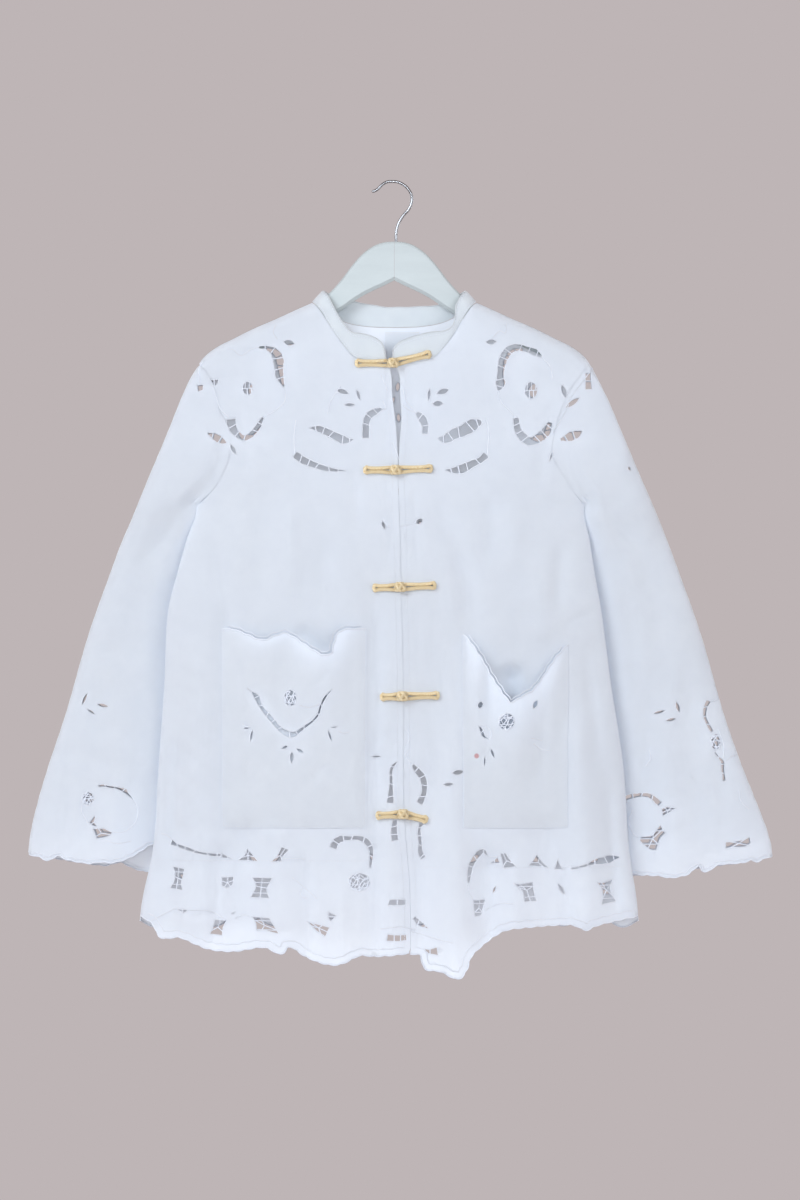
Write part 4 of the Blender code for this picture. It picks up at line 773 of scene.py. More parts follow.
def smooth_line(points, step, closed=False):
    """A line that bends smoothly through its points, in even steps."""
    points = np.asarray(points, float)
    count = len(points)
    result = []
    for i in range(count if closed else count - 1):
        if closed:
            a, b, c, d = (points[(i + k) % count] for k in (-1, 0, 1, 2))
        else:
            b, c = points[i], points[i + 1]
            a = points[i - 1] if i else 2 * b - c
            d = points[i + 2] if i + 2 < count else 2 * c - b
        pieces = max(1, round(float(np.linalg.norm(c - b)) / step))
        for k in range(pieces):
            t = k / pieces
            bend = (3 * b - 3 * c + d - a) * t**3 + (2 * a - 5 * b + 4 * c - d) * t**2 + (c - a) * t + 2 * b
            result.append(bend / 2)
    if not closed:
        result.append(points[-1])
    return np.array(result)


def straight_line(points, step, closed=False):
    """Straight runs between points, in even steps."""
    points = [np.asarray(p, float) for p in points]
    ends = points[1:] + ([points[0]] if closed else [])
    result = []
    for a, b in zip(points, ends):
        pieces = max(1, round(float(np.linalg.norm(b - a)) / step))
        result += [a + (b - a) * k / pieces for k in range(pieces)]
    if not closed:
        result.append(points[-1])
    return np.array(result)


def turned(shape, across, down, turn):
    c, s = math.cos(math.radians(turn)), math.sin(math.radians(turn))
    shape = np.asarray(shape, float)
    return np.stack((across + shape[:, 0] * c + shape[:, 1] * s, down - shape[:, 0] * s + shape[:, 1] * c), -1)


def leaf_outline(across, down, length, width, turn):
    """A pointed leaf, or an oval where it is nearly as wide as long."""
    count = max(5, round(length / 2.2))
    run = np.linspace(-1, 1, count + 1)
    power = 1.0 if width < 0.6 * length else 0.55
    bow = (1 - run**2) ** power * width / 2
    upper = np.stack((run * length / 2, bow), -1)
    lower = np.stack((run[-2:0:-1] * length / 2, -bow[-2:0:-1]), -1)
    return turned(np.concatenate((upper, lower)), across, down, turn)


def block_outline(corners):
    return straight_line(corners, 2.6, closed=True)


def wheel_outline(across, down, height, width, *_):
    return leaf_outline(across, down, height, width, 90)


def band_sides(route):
    """The two edges of a band, point for point, a little uneven as hand work is."""
    line = smooth_line(route, 2.4)
    line, width = line[:, :2], np.maximum(line[:, 2], 0.8)
    ahead = np.gradient(line, axis=0)
    ahead /= np.linalg.norm(ahead, axis=1, keepdims=True)
    side = np.stack((ahead[:, 1], -ahead[:, 0]), -1)
    swell = width / 2 * (1 + 0.07 * np.sin(np.arange(len(line)) * 1.9 + line[0, 0]))
    return line + side * swell[:, None], line - side * swell[:, None]


def band_outline(route):
    left, right = band_sides(route)
    return np.concatenate((left, right[::-1]))


def net_bars(outline, step):
    """A fine irregular net of threads inside an outline."""
    low, high = outline.min(axis=0), outline.max(axis=0)
    knots = []
    for j, d in enumerate(np.arange(low[1] + step / 2, high[1], step * 0.87)):
        for k, x in enumerate(np.arange(low[0] + step / 2 * (j % 2), high[0], step)):
            knots.append((x + 0.25 * step * math.sin(7.3 * j + 3.1 * k), d + 0.25 * step * math.cos(5.7 * k + 2.3 * j)))
    knots = np.array(knots)
    knots = knots[points_inside(outline, knots)]
    ring = outline[:: max(1, round(step / 2.4))]
    points = [Vector(p) for p in np.concatenate((ring, knots))]
    edges = delaunay_2d_cdt(points, [(i, (i + 1) % len(ring)) for i in range(len(ring))], [], 1, 1e-5)
    flat = np.array([(v.x, v.y) for v in edges[0]])
    rim = len(ring)
    return [(flat[list(edge)], False) for n, edge in enumerate(edges[1]) if max(edge) >= rim and n % 4]


def bars_of(bands=(), blocks=(), wheels=()):
    """Thread bars and small wheels that bridge the openings, as lists of (line, closed)."""
    bars = []
    for row in wheels:
        across, down, height, width, threads = row
        outline = wheel_outline(*row)
        if not threads:
            bars += net_bars(outline, NET_STEP)
            continue
        bars.append((np.array([(across - width / 2, down + 0.5), (across + width / 2, down - 0.5)]), False))
        for k in range(threads):
            x = across + width * ((k + 0.7) / threads - 0.5) * 0.8
            reach = height / 2 * math.sqrt(max(0.1, 1 - (2 * (x - across) / width) ** 2))
            bars.append((np.array([(x, down), (x + 0.6, down + reach * (1 if k % 2 else -1))]), False))
    for route in bands:
        left, right = band_sides(route)
        for n, i in enumerate(range(3, len(left) - 2, 5)):
            lean = (1, 0, -1)[n % 3]
            bars.append((np.array([left[i], right[i + lean]]), False))
    for corners in blocks:
        corners = np.array(corners, float)
        count = len(corners)
        middle = corners.mean(axis=0)
        size = corners.max(axis=0) - corners.min(axis=0)
        if max(size) < 10:
            continue
        if min(size) < 11:
            # One or two bars across a long, narrow shape
            line = 0 if size[0] > size[1] else 1
            shares = (0.5,) if max(size) < 22 else (0.36, 0.68)
        else:
            for k in range(0, count, 2 if count > 5 else 1):
                bars.append((np.array([middle, (corners[k] + corners[(k + 1) % count]) / 2]), False))
            line, shares = 1, (0.24, 0.76) if size[1] > 20 else ()
        for share in shares:
            cut = chord(corners, line, corners[:, line].min() + size[line] * share)
            if cut is not None:
                bars.append((cut, False))
    return bars


def chord(corners, axis, at):
    """Where a straight line across a shape at one coordinate meets its edges."""
    met = []
    for a, b in zip(corners, np.roll(corners, -1, axis=0)):
        if (a[axis] - at) * (b[axis] - at) < 0:
            met.append(a + (b - a) * (at - a[axis]) / (b[axis] - a[axis]))
    return np.array([met[0], met[1] + (met[0] - met[1]) * 0.04]) if len(met) > 1 else None


def holes_of(leaves=(), bands=(), blocks=(), wheels=()):
    found = [leaf_outline(*row) for row in leaves]
    found += [band_outline(row) for row in bands]
    found += [block_outline(row) for row in blocks]
    return found + [wheel_outline(*row) for row in wheels]


def points_inside(polygon, points):
    """Which points lie within an outline."""
    x, y = points[:, 0], points[:, 1]
    found = np.zeros(len(points), bool)
    following = np.roll(polygon, -1, axis=0)
    for (ax, ay), (bx, by) in zip(polygon, following):
        if ay == by:
            continue
        crosses = ((ay > y) != (by > y)) & (x < (bx - ax) * (y - ay) / (by - ay) + ax)
        found ^= crosses
    return found


def within(loops, points):
    """Which points lie in the first outline and in none of the others."""
    keep = points_inside(loops[0], points)
    for loop in loops[1:]:
        low, high = loop.min(axis=0), loop.max(axis=0)
        near = np.flatnonzero(((points >= low) & (points <= high)).all(axis=1))
        if len(near):
            keep[near[points_inside(loop, points[near])]] = False
    return keep


def flat_pattern(surface, outline, holes, spacing):
    """The panel's points and triangles in its own flat frame of u and down."""
    loops = [np.stack((surface.to_u(p[:, 0], p[:, 1]) * surface.scale, p[:, 1]), -1) for p in (outline, *holes)]
    edges, start = [], 0
    for loop in loops:
        edges += [(start + i, start + (i + 1) % len(loop)) for i in range(len(loop))]
        start += len(loop)
    bound = np.concatenate(loops)
    low, high = bound.min(axis=0), bound.max(axis=0)
    rows = np.arange(low[1], high[1], spacing * 0.866)
    columns = np.arange(low[0], high[0], spacing)
    grid = np.array([(x + spacing / 2 * (j % 2), d) for j, d in enumerate(rows) for x in columns])
    grid = grid[within(loops, grid)]
    tree = KDTree(len(bound))
    for i, (x, d) in enumerate(bound):
        tree.insert((x, d, 0), i)
    tree.balance()
    grid = np.array([p for p in grid if tree.find((p[0], p[1], 0))[2] > spacing * 0.55])
    points = [Vector(p) for p in np.concatenate((bound, grid))]
    made = delaunay_2d_cdt(points, edges, [], 0, 1e-5)
    flat = np.array([(v.x, v.y) for v in made[0]])
    triangles = np.array(made[2], int)
    triangles = triangles[within(loops, flat[triangles].mean(axis=1))]
    used, index = np.unique(triangles, return_inverse=True)
    return flat[used], index.reshape(-1, 3)


def link(name, data):
    made = bpy.data.objects.new(name, data)
    bpy.context.scene.collection.objects.link(made)
    return made


def shell_mesh(name, inner, outer, triangles):
    """A closed thin shell from two like sheets of points, joined round every edge."""
    count = len(inner)
    a, b, c = (outer[triangles[:, k]] for k in range(3))
    out = outer[triangles[:, 0]] - inner[triangles[:, 0]]
    if np.sum(np.cross(b - a, c - a) * out) < 0:
        triangles = triangles[:, [0, 2, 1]]
    ends = np.concatenate([triangles[:, [0, 1]], triangles[:, [1, 2]], triangles[:, [2, 0]]])
    there = {(int(p), int(q)) for p, q in ends}
    rim = [(p, q) for p, q in there if (q, p) not in there]
    faces = [tuple(row) for row in (triangles + count).tolist()]
    faces += [tuple(row) for row in triangles[:, ::-1].tolist()]
    faces += [(p, q, q + count, p + count) for p, q in sorted(rim)]
    mesh = bpy.data.meshes.new(name)
    mesh.from_pydata((np.concatenate((inner, outer)) * MM).tolist(), [], faces)
    mesh.shade_smooth()
    mesh.set_sharp_from_angle(angle=math.radians(70))
    return mesh


def grid_triangles(rows, columns):
    """The triangles between points that stand in rows and columns."""
    corners = np.arange(rows * columns).reshape(rows, columns)
    a, b = corners[:-1, :-1].ravel(), corners[1:, :-1].ravel()
    return np.concatenate((np.stack((a, b, b + 1), -1), np.stack((a, b + 1, a + 1), -1)))


def cloth_piece(name, surface, outline, holes, settings, material):
    """A thin shell of cloth on a surface, its outer face where the solid has it."""
    flat, triangles = flat_pattern(surface, outline, holes, settings.spacing / MM)
    point, out = surface_points(surface, flat[:, 0] / surface.scale, flat[:, 1])
    inner = point + out * (WALL - settings.thickness / MM)
    made = link(name + "_cloth", shell_mesh(name, inner, point + out * WALL, triangles))
    made.data.materials.append(material)
    return made


def growth_tree(name, inputs, kinds):
    """A new group of geometry nodes that grows something along a mesh: the tree and its nodes by name."""
    tree = bpy.data.node_groups.new(name, "GeometryNodeTree")
    tree.interface.new_socket("Geometry", in_out="OUTPUT", socket_type="NodeSocketGeometry")
    for label, kind in (("Geometry", "Geometry"), *inputs, ("Finish", "Material")):
        tree.interface.new_socket(label, in_out="INPUT", socket_type="NodeSocket" + kind)
    shared = {
        "given": "NodeGroupInput", "lines": "GeometryNodeMeshToCurve", "smooth": "GeometryNodeSetShadeSmooth",
        "real": "GeometryNodeRealizeInstances", "finish": "GeometryNodeSetMaterial", "result": "NodeGroupOutput",
    }
    return tree, {label: tree.nodes.new(kind) for label, kind in {**shared, **kinds}.items()}


def wired(tree, nodes, rows):
    """The tree with its nodes joined. Columns: from node, its output, to node, its input."""
    shared = (
        ("given", "Geometry", "lines", "Mesh"), ("smooth", "Geometry", "real", "Geometry"),
        ("real", "Geometry", "finish", "Geometry"), ("given", "Finish", "finish", "Material"),
        ("finish", "Geometry", "result", "Geometry"),
    )
    for source, output, target, slot in (*shared, *rows):
        tree.links.new(nodes[source].outputs[output], nodes[target].inputs[slot])
    return tree


def thread_tree():
    """Round thread along the edges of a mesh, with its length kept in the attribute along."""
    tree, nodes = growth_tree("Thread Along Edges", (("Radius", "Float"), ("Step", "Float"), ("Sides", "Int")), {
        "even": "GeometryNodeResampleCurve", "length": "GeometryNodeSplineParameter",
        "keep": "GeometryNodeStoreNamedAttribute", "ring": "GeometryNodeCurvePrimitiveCircle",
        "skin": "GeometryNodeCurveToMesh",
    })
    nodes["even"].mode = "LENGTH"
    nodes["keep"].data_type = "FLOAT"
    nodes["keep"].domain = "POINT"
    nodes["keep"].inputs["Name"].default_value = "along"
    nodes["skin"].inputs["Fill Caps"].default_value = True
    return wired(tree, nodes, (
        ("lines", "Curve", "even", "Curve"), ("given", "Step", "even", "Length"),
        ("even", "Curve", "keep", "Geometry"), ("length", "Length", "keep", "Value"),
        ("given", "Sides", "ring", "Resolution"), ("given", "Radius", "ring", "Radius"),
        ("keep", "Geometry", "skin", "Curve"), ("ring", "Curve", "skin", "Profile Curve"),
        ("skin", "Mesh", "smooth", "Geometry"),
    ))


def stitch_tree():
    """A row of small stitches along the edges of a mesh."""
    tree, nodes = growth_tree("Stitches Along Edges", (("Pitch", "Float"), ("Length", "Float"), ("Width", "Float")), {
        "places": "GeometryNodeCurveToPoints", "bead": "GeometryNodeMeshUVSphere", "size": "ShaderNodeCombineXYZ",
        "copies": "GeometryNodeInstanceOnPoints",
    })
    nodes["places"].mode = "LENGTH"
    for label, value in (("Segments", 5), ("Rings", 3), ("Radius", 0.5)):
        nodes["bead"].inputs[label].default_value = value
    return wired(tree, nodes, (
        ("lines", "Curve", "places", "Curve"), ("given", "Pitch", "places", "Length"),
        ("places", "Points", "copies", "Points"), ("places", "Rotation", "copies", "Rotation"),
        ("bead", "Mesh", "copies", "Instance"), ("given", "Width", "size", "X"), ("given", "Width", "size", "Y"),
        ("given", "Length", "size", "Z"), ("size", "Vector", "copies", "Scale"),
        ("copies", "Instances", "smooth", "Geometry"),
    ))


def grown_mesh(name, lines, tree_maker, values):
    """The mesh that a node tree grows along lines, a list of (points in mm, closed)."""
    points, edges = [], []
    for line, closed in lines:
        start, count = len(points), len(line)
        points += (np.asarray(line) * MM).tolist()
        edges += [(start + i, start + (i + 1) % count) for i in range(count if closed else count - 1)]
    mesh = bpy.data.meshes.new(name)
    mesh.from_pydata(points, edges, [])
    made = link(name, mesh)
    tree = next((t for t in bpy.data.node_groups if t.get("maker") == tree_maker.__name__), None)
    if tree is None:
        tree = tree_maker()
        tree["maker"] = tree_maker.__name__
    growth = made.modifiers.new("Growth", "NODES")
    growth.node_group = tree
    sockets = {s.name: s.identifier for s in tree.interface.items_tree if s.in_out == "INPUT"}
    for label, value in values.items():
        growth[sockets[label]] = value
    graph = bpy.context.evaluated_depsgraph_get()
    grown = bpy.data.meshes.new_from_object(made.evaluated_get(graph), preserve_all_data_layers=True, depsgraph=graph)
    bpy.data.objects.remove(made)
    bpy.data.meshes.remove(mesh)
    if not grown.polygons:
        raise RuntimeError(f"{name} grew no faces")
    return grown


def thread_piece(name, lines, radius, material, step=1.6, sides=6):
    values = {"Radius": radius * MM, "Step": step * MM, "Sides": sides, "Finish": material}
    return link(name, grown_mesh(name, lines, thread_tree, values))


def stitch_piece(name, lines, settings, material):
    values = {
        "Pitch": settings.stitch_pitch,
        "Length": settings.stitch_length,
        "Width": settings.stitch_width,
        "Finish": material,
    }
    return link(name, grown_mesh(name, lines, stitch_tree, values))


def joined(target, others):
    """Others merged into target, materials kept."""
    bpy.ops.object.select_all(action="DESELECT")
    for one in (target, *others):
        one.select_set(True)
    bpy.context.view_layer.objects.active = target
    bpy.ops.object.join()
    return target


def welded(piece, within_mm):
    """The piece with points that lie this close made one."""
    work = bmesh.new()
    work.from_mesh(piece.data)
    bmesh.ops.remove_doubles(work, verts=work.verts, dist=within_mm * MM)
    work.to_mesh(piece.data)
    work.free()
    return piece


def settle(piece, nodes):
    """Ties a finished piece to the frame."""
    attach(piece, BODY)
    if nodes:
        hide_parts(*nodes)
    return piece


# Finishes


def blank_material(name, values):
    """A new material, its tree and its shader, which is given these values."""
    material = bpy.data.materials.new(name)
    material.use_nodes = True
    shader = material.node_tree.nodes["Principled BSDF"]
    for label, value in values.items():
        shader.inputs[label].default_value = value
    return material, material.node_tree, shader


def mixed(tree, share, low, high, output=None):
    """A colour between two, by a value. The first may come from another node."""
    mix = tree.nodes.new("ShaderNodeMix")
    mix.data_type = "RGBA"
    if isinstance(low, tuple):
        mix.inputs["A"].default_value = (*low, 1)
    else:
        tree.links.new(low, mix.inputs["A"])
    mix.inputs["B"].default_value = (*high, 1)
    tree.links.new(share, mix.inputs["Factor"])
    if output is not None:
        tree.links.new(mix.outputs["Result"], output)
    return mix.outputs["Result"]


def noise_of(tree, scale, detail=3.0, rough=0.55, stretch=(1, 1, 1)):
    place = tree.nodes.new("ShaderNodeTexCoord")
    turn = tree.nodes.new("ShaderNodeMapping")
    turn.inputs["Scale"].default_value = stretch
    noise = tree.nodes.new("ShaderNodeTexNoise")
    noise.inputs["Scale"].default_value = scale
    noise.inputs["Detail"].default_value = detail
    noise.inputs["Roughness"].default_value = rough
    tree.links.new(place.outputs["Object"], turn.inputs["Vector"])
    tree.links.new(turn.outputs["Vector"], noise.inputs["Vector"])
    return noise.outputs["Fac"]


def wave_of(tree, scale, direction):
    place = tree.nodes.new("ShaderNodeTexCoord")
    wave = tree.nodes.new("ShaderNodeTexWave")
    wave.bands_direction = direction
    wave.inputs["Scale"].default_value = scale
    wave.inputs["Distortion"].default_value = 1.2
    wave.inputs["Detail"].default_value = 1.0
    tree.links.new(place.outputs["Object"], wave.inputs["Vector"])
    return wave.outputs["Fac"]


def arithmetic(tree, operation, first, second):
    node = tree.nodes.new("ShaderNodeMath")
    node.operation = operation
    for socket, value in zip(node.inputs, (first, second)):
        if isinstance(value, (int, float)):
            socket.default_value = value
        else:
            tree.links.new(value, socket)
    return node.outputs[0]


def ranged(tree, value, low, high, to_low, to_high, output=None):
    node = tree.nodes.new("ShaderNodeMapRange")
    for label, number in zip(("From Min", "From Max", "To Min", "To Max"), (low, high, to_low, to_high)):
        node.inputs[label].default_value = number
    tree.links.new(value, node.inputs["Value"])
    if output is not None:
        tree.links.new(node.outputs["Result"], output)
    return node.outputs["Result"]


def bumped(tree, shader, height, distance, strength=1.0, under=None):
    bump = tree.nodes.new("ShaderNodeBump")
    bump.inputs["Distance"].default_value = distance
    bump.inputs["Strength"].default_value = strength
    tree.links.new(height, bump.inputs["Height"])
    if under is not None:
        tree.links.new(under, bump.inputs["Normal"])
    if shader is not None:
        tree.links.new(bump.outputs["Normal"], shader.inputs["Normal"])
    return bump.outputs["Normal"]


WEAVE_SCALE = 520.0


def cotton(name, light, shade, stain=None, shows_through=0.8):
    """Plain woven cotton: two tones, the weave, a nap and soft handling creases."""
    material, tree, shader = blank_material(name, {
        "Sheen Weight": 0.12,
        "Sheen Roughness": 0.6,
        "Specular IOR Level": 0.25,
        "Subsurface Weight": shows_through,
        "Subsurface Radius": (1.0, 1.0, 1.0),
        "Subsurface Scale": 0.004,
    })
    tone = arithmetic(tree, "MULTIPLY", noise_of(tree, 9.0, 2.0), noise_of(tree, 60.0, 3.0))
    colour = mixed(tree, ranged(tree, tone, 0.1, 0.42, 0.0, 1.0), shade, light)
    if stain:
        place = tree.nodes.new("ShaderNodeTexCoord")
        spot = tree.nodes.new("ShaderNodeVectorMath")
        spot.operation = "DISTANCE"
        spot.inputs[1].default_value = STAIN_PLACE
        tree.links.new(place.outputs["Object"], spot.inputs[0])
        edge = ranged(tree, spot.outputs["Value"], STAIN_RADIUS * 0.6, STAIN_RADIUS, 1.0, 0.0)
        colour = mixed(tree, edge, colour, stain)
    tree.links.new(colour, shader.inputs["Base Color"])
    ranged(tree, noise_of(tree, 30.0, 2.0), 0.3, 0.7, 0.80, 0.92, shader.inputs["Roughness"])
    rumple = bumped(tree, None, noise_of(tree, 20.0, 3.0, 0.5, (1, 1, 0.25)), 0.0016, 0.4)
    weave = arithmetic(tree, "MULTIPLY", wave_of(tree, WEAVE_SCALE, "X"), wave_of(tree, WEAVE_SCALE, "Z"))
    nap = arithmetic(tree, "ADD", weave, noise_of(tree, 1400.0, 1.0))
    bumped(tree, shader, nap, 0.00012, 0.7, rumple)
    return material


def thread_finish(name, light, shade, twist, distance):
    """Thread whose twist follows its length. The grooves between its turns are painted in the shade tone and its ridges
    in the light tone: painted shade and painted highlight, on top of the bump.
    """
    material, tree, shader = blank_material(name, {"Sheen Weight": 0.1})
    length = tree.nodes.new("ShaderNodeAttribute")
    length.attribute_name = "along"
    place = tree.nodes.new("ShaderNodeTexCoord")
    split = tree.nodes.new("ShaderNodeSeparateXYZ")
    tree.links.new(place.outputs["Object"], split.inputs["Vector"])
    across = arithmetic(tree, "ADD", split.outputs["Y"], split.outputs["Z"])
    ply = arithmetic(tree, "ADD", length.outputs["Fac"], across)
    ridge = arithmetic(tree, "SINE", arithmetic(tree, "MULTIPLY", ply, 6.283 / twist), 0)
    # Painted shade in the grooves of the twist and painted highlight on its ridges, with a little random tone.
    share = ranged(tree, arithmetic(tree, "ADD", ridge, noise_of(tree, 240.0, 2.0)), -0.6, 1.4, 0.0, 1.0)
    mixed(tree, share, shade, light, shader.inputs["Base Color"])
    ranged(tree, noise_of(tree, 120.0), 0.3, 0.7, 0.42, 0.6, shader.inputs["Roughness"])
    bumped(tree, shader, ridge, distance, 0.8)
    return material


def painted_wood(name, light, shade):
    material, tree, shader = blank_material(name, {"Specular IOR Level": 0.25})
    grain = noise_of(tree, 60.0, 4.0, 0.6, (0.15, 1, 1))
    mixed(tree, ranged(tree, grain, 0.3, 0.7, 0.0, 1.0), shade, light, shader.inputs["Base Color"])
    ranged(tree, noise_of(tree, 24.0), 0.3, 0.7, 0.36, 0.5, shader.inputs["Roughness"])
    brush = bumped(tree, None, grain, 0.0003, 0.4)
    bumped(tree, shader, noise_of(tree, 420.0, 2.0), 0.00012, 0.4, brush)
    return material


def plated_wire(name, light, shade):
    material, tree, shader = blank_material(name, {"Metallic": 1.0})
    mixed(tree, noise_of(tree, 200.0, 2.0), shade, light, shader.inputs["Base Color"])
    ranged(tree, noise_of(tree, 700.0, 2.0), 0.3, 0.7, 0.14, 0.24, shader.inputs["Roughness"])
    bumped(tree, shader, noise_of(tree, 300.0, 1.0), 0.00003, 0.2)
    return material


def floor_paper(name, colour):
    material, tree, shader = blank_material(name, {"Roughness": 0.95, "Specular IOR Level": 0.0})
    darker = tuple(c * 0.985 for c in colour)
    mixed(tree, noise_of(tree, 3.0), darker, colour, shader.inputs["Base Color"])
    bumped(tree, shader, noise_of(tree, 300.0), 0.0002, 0.3)
    return material


def finish_of(name, maker, *values, **named):
    """A finish of this script by name, made the first time that it is asked for."""
    found = next((m for m in bpy.data.materials if m.get("finish") == name), None)
    if found is None:
        found = maker(name, *values, **named)
        found["finish"] = name
    return found


# Settings


class ClothSettings(bpy.types.PropertyGroup):
    spacing: FloatProperty(
        name="Spacing", description="Distance of the cloth's points", default=0.0055, unit="LENGTH"
    )
    thickness: FloatProperty(name="Thickness", description="Thickness of one layer", default=0.0008, unit="LENGTH")
    light: FloatVectorProperty(
        name="Light tone", description="Colour of the cloth", default=(0.800, 0.865, 0.955), subtype="COLOR"
    )
    shade: FloatVectorProperty(
        name="Shade tone", description="Colour of its greyer threads", default=(0.770, 0.835, 0.930), subtype="COLOR"
    )
    # Painted light: the pockets' cotton is made this much lighter than the rest, to make up for the light that passes
    # through one layer of cloth but not through two.
    double_tone: FloatProperty(name="Doubled tone", description="Tone of the pockets against the rest", default=1.028)
    spot: FloatVectorProperty(
        name="Spot", description="Colour of the one small stain", default=(0.62, 0.34, 0.34), subtype="COLOR"
    )


class EdgeSettings(bpy.types.PropertyGroup):
    rim_radius: FloatProperty(
        name="Cut edge", description="Radius of the stitched cut edges", default=0.0006, unit="LENGTH"
    )
    satin_inset: FloatProperty(
        name="Satin inset", description="Distance of the satin line from a cuff or a pocket's mouth",
        default=0.0035, unit="LENGTH",
    )
    hem_inset: FloatProperty(
        name="Hem inset", description="Distance of the satin line from the hem", default=0.008, unit="LENGTH"
    )
    lobe_pitch: FloatProperty(
        name="Lobe", description="Width of a small lobe of a free edge", default=0.014, unit="LENGTH"
    )
    lobe_drop: FloatProperty(name="Lobe drop", description="How far a lobe hangs", default=0.0012, unit="LENGTH")
    satin_radius: FloatProperty(
        name="Satin line", description="Radius of a raised satin line", default=0.0006, unit="LENGTH"
    )
    hem_radius: FloatProperty(
        name="Hem edge", description="Radius of the scalloped edges", default=0.0010, unit="LENGTH"
    )
    bar_radius: FloatProperty(name="Bar", description="Radius of a thread bar", default=0.00068, unit="LENGTH")
    stitch_pitch: FloatProperty(name="Pitch", description="Distance of the stitches", default=0.0034, unit="LENGTH")
    stitch_length: FloatProperty(
        name="Stitch length", description="Length of a stitch", default=0.0026, unit="LENGTH"
    )
    stitch_width: FloatProperty(name="Stitch width", description="Width of a stitch", default=0.0006, unit="LENGTH")
    # The thread's light tone is painted on the ridges of its twist and its shade tone in the grooves between: painted
    # highlight and painted shade.
    light: FloatVectorProperty(
        name="Light tone", description="Colour of the thread", default=(0.86, 0.89, 0.94), subtype="COLOR"
    )
    shade: FloatVectorProperty(
        name="Shade tone", description="Colour between its turns", default=(0.74, 0.78, 0.85), subtype="COLOR"
    )


class CordSettings(bpy.types.PropertyGroup):
    strand: FloatProperty(
        name="Strand", description="Radius of one of a cord's strands", default=0.00135, unit="LENGTH"
    )
    lay: FloatProperty(
        name="Lay", description="Distance of a strand from the cord's middle", default=0.00115, unit="LENGTH"
    )
    pitch: FloatProperty(name="Pitch", description="Length of one full twist", default=0.0095, unit="LENGTH")
    strands: IntProperty(name="Strands", description="Strands in a cord", default=3, min=2, max=5)
    # The cord's light tone is painted on the ridges of its twist and its shade tone in the grooves between: painted
    # highlight and painted shade.
    light: FloatVectorProperty(
        name="Light tone", description="Colour of the cord", default=(0.95, 0.82, 0.54), subtype="COLOR"
    )
    shade: FloatVectorProperty(
        name="Shade tone", description="Colour between its threads", default=(0.74, 0.52, 0.24), subtype="COLOR"
    )


class HangerSettings(bpy.types.PropertyGroup):
    thickness: FloatProperty(
        name="Thickness", description="Thickness of the wood", default=ARM_BOX[1].y - ARM_BOX[0].y, unit="LENGTH"
    )
    wire: FloatProperty(name="Wire", description="Radius of the hook's wire", default=0.0018, unit="LENGTH")
    light: FloatVectorProperty(
        name="Paint", description="Colour of the paint", default=(0.556, 0.606, 0.595), subtype="COLOR"
    )
    shade: FloatVectorProperty(
        name="Worn paint", description="Colour along the grain", default=(0.517, 0.563, 0.555), subtype="COLOR"
    )


class StageSettings(bpy.types.PropertyGroup):
    floor: FloatVectorProperty(
        name="Floor", description="Colour of the floor", default=(0.60, 0.55, 0.53), subtype="COLOR"
    )
    surround: FloatVectorProperty(
        name="Surround", description="Colour and light from all round", default=(0.515, 0.462, 0.468), subtype="COLOR"
    )
    distance: FloatProperty(name="Distance", description="Distance of the camera", default=6.0, unit="LENGTH")
    lens: FloatProperty(name="Lens", description="Focal length in millimetres", default=150.0)
    centre: FloatVectorProperty(
        name="Centre", description="Middle of the picture", default=(0.0108, 0.0, -0.5004), subtype="TRANSLATION"
    )
    front: FloatProperty(name="Front", description="Power of the lamp beside the camera in watts", default=60.0)
    key: FloatProperty(name="Key", description="Power of the light from the left in watts", default=112.0)
    behind: FloatProperty(
        name="Back light", description="Power of each lamp on the back of the jacket in watts", default=42.0
    )


class JacketSettings(bpy.types.PropertyGroup):
    cloth: PointerProperty(type=ClothSettings)
    edge: PointerProperty(type=EdgeSettings)
    cord: PointerProperty(type=CordSettings)
    hanger: PointerProperty(type=HangerSettings)
    stage: PointerProperty(type=StageSettings)


def jacket(context):
    return context.scene.jacket


def cloth_finish(context):
    s = jacket(context).cloth
    return finish_of("cotton", cotton, tuple(s.light), tuple(s.shade))


def pocket_finish(context):
    """The same cotton made a little lighter where it lies double, as painted light that makes up for the light which
    passes through one layer but not through two, with the one small stain.
    """
    s = jacket(context).cloth
    # Painted light: both tones of the pockets are raised by this factor.
    light, shade = (tuple(tone * s.double_tone for tone in colour) for colour in (s.light, s.shade))
    return finish_of("pocket_cotton", cotton, light, shade, stain=tuple(s.spot))


def white_thread(context):
    s = jacket(context).edge
    return finish_of("white_thread", thread_finish, tuple(s.light), tuple(s.shade), 0.0009, 0.0001)


# Outlines


def shoulder_points(hand):
    distance = np.append(np.arange(NECK_SHOULDER[0], SHOULDER_END + 0.01, 5.0), SHOULDER_END)
    return np.stack((GARMENT_MIDDLE + hand * distance, shoulder_line(distance)), -1)


def armhole_points(hand):
    return smooth_line([(row[1 if hand < 0 else 2], row[0]) for row in ARMHOLE], 5.0)


def side_points(hand, top, bottom):
    down = np.linspace(top, bottom, max(3, round((bottom - top) / 5.0)))
    return np.stack(((body_left if hand < 0 else body_right)(down), down), -1)


def neck_line(rows, hand):
    return [(GARMENT_MIDDLE + hand * x, d) for x, d in rows]


def opening_points(hand, bottom):
    down = np.arange(OPENING_TOP, bottom, 6.0)
    left, right = opening_left(down), opening_right(down)
    half = np.maximum((right - left) / 2 - OPENING_CLOSER, OPENING_HALF_GAP)
    return np.stack(((left + right) / 2 + hand * half, down), -1)


def aside_of(line):
    """The flat direction to one side at each point of a line."""
    ahead = np.gradient(line, axis=0)
    ahead /= np.maximum(np.linalg.norm(ahead, axis=1, keepdims=True), 1e-6)
    aside = np.stack((-ahead[:, 1], ahead[:, 0]), -1)
    return aside if aside[:, 1].sum() > 0 else -aside


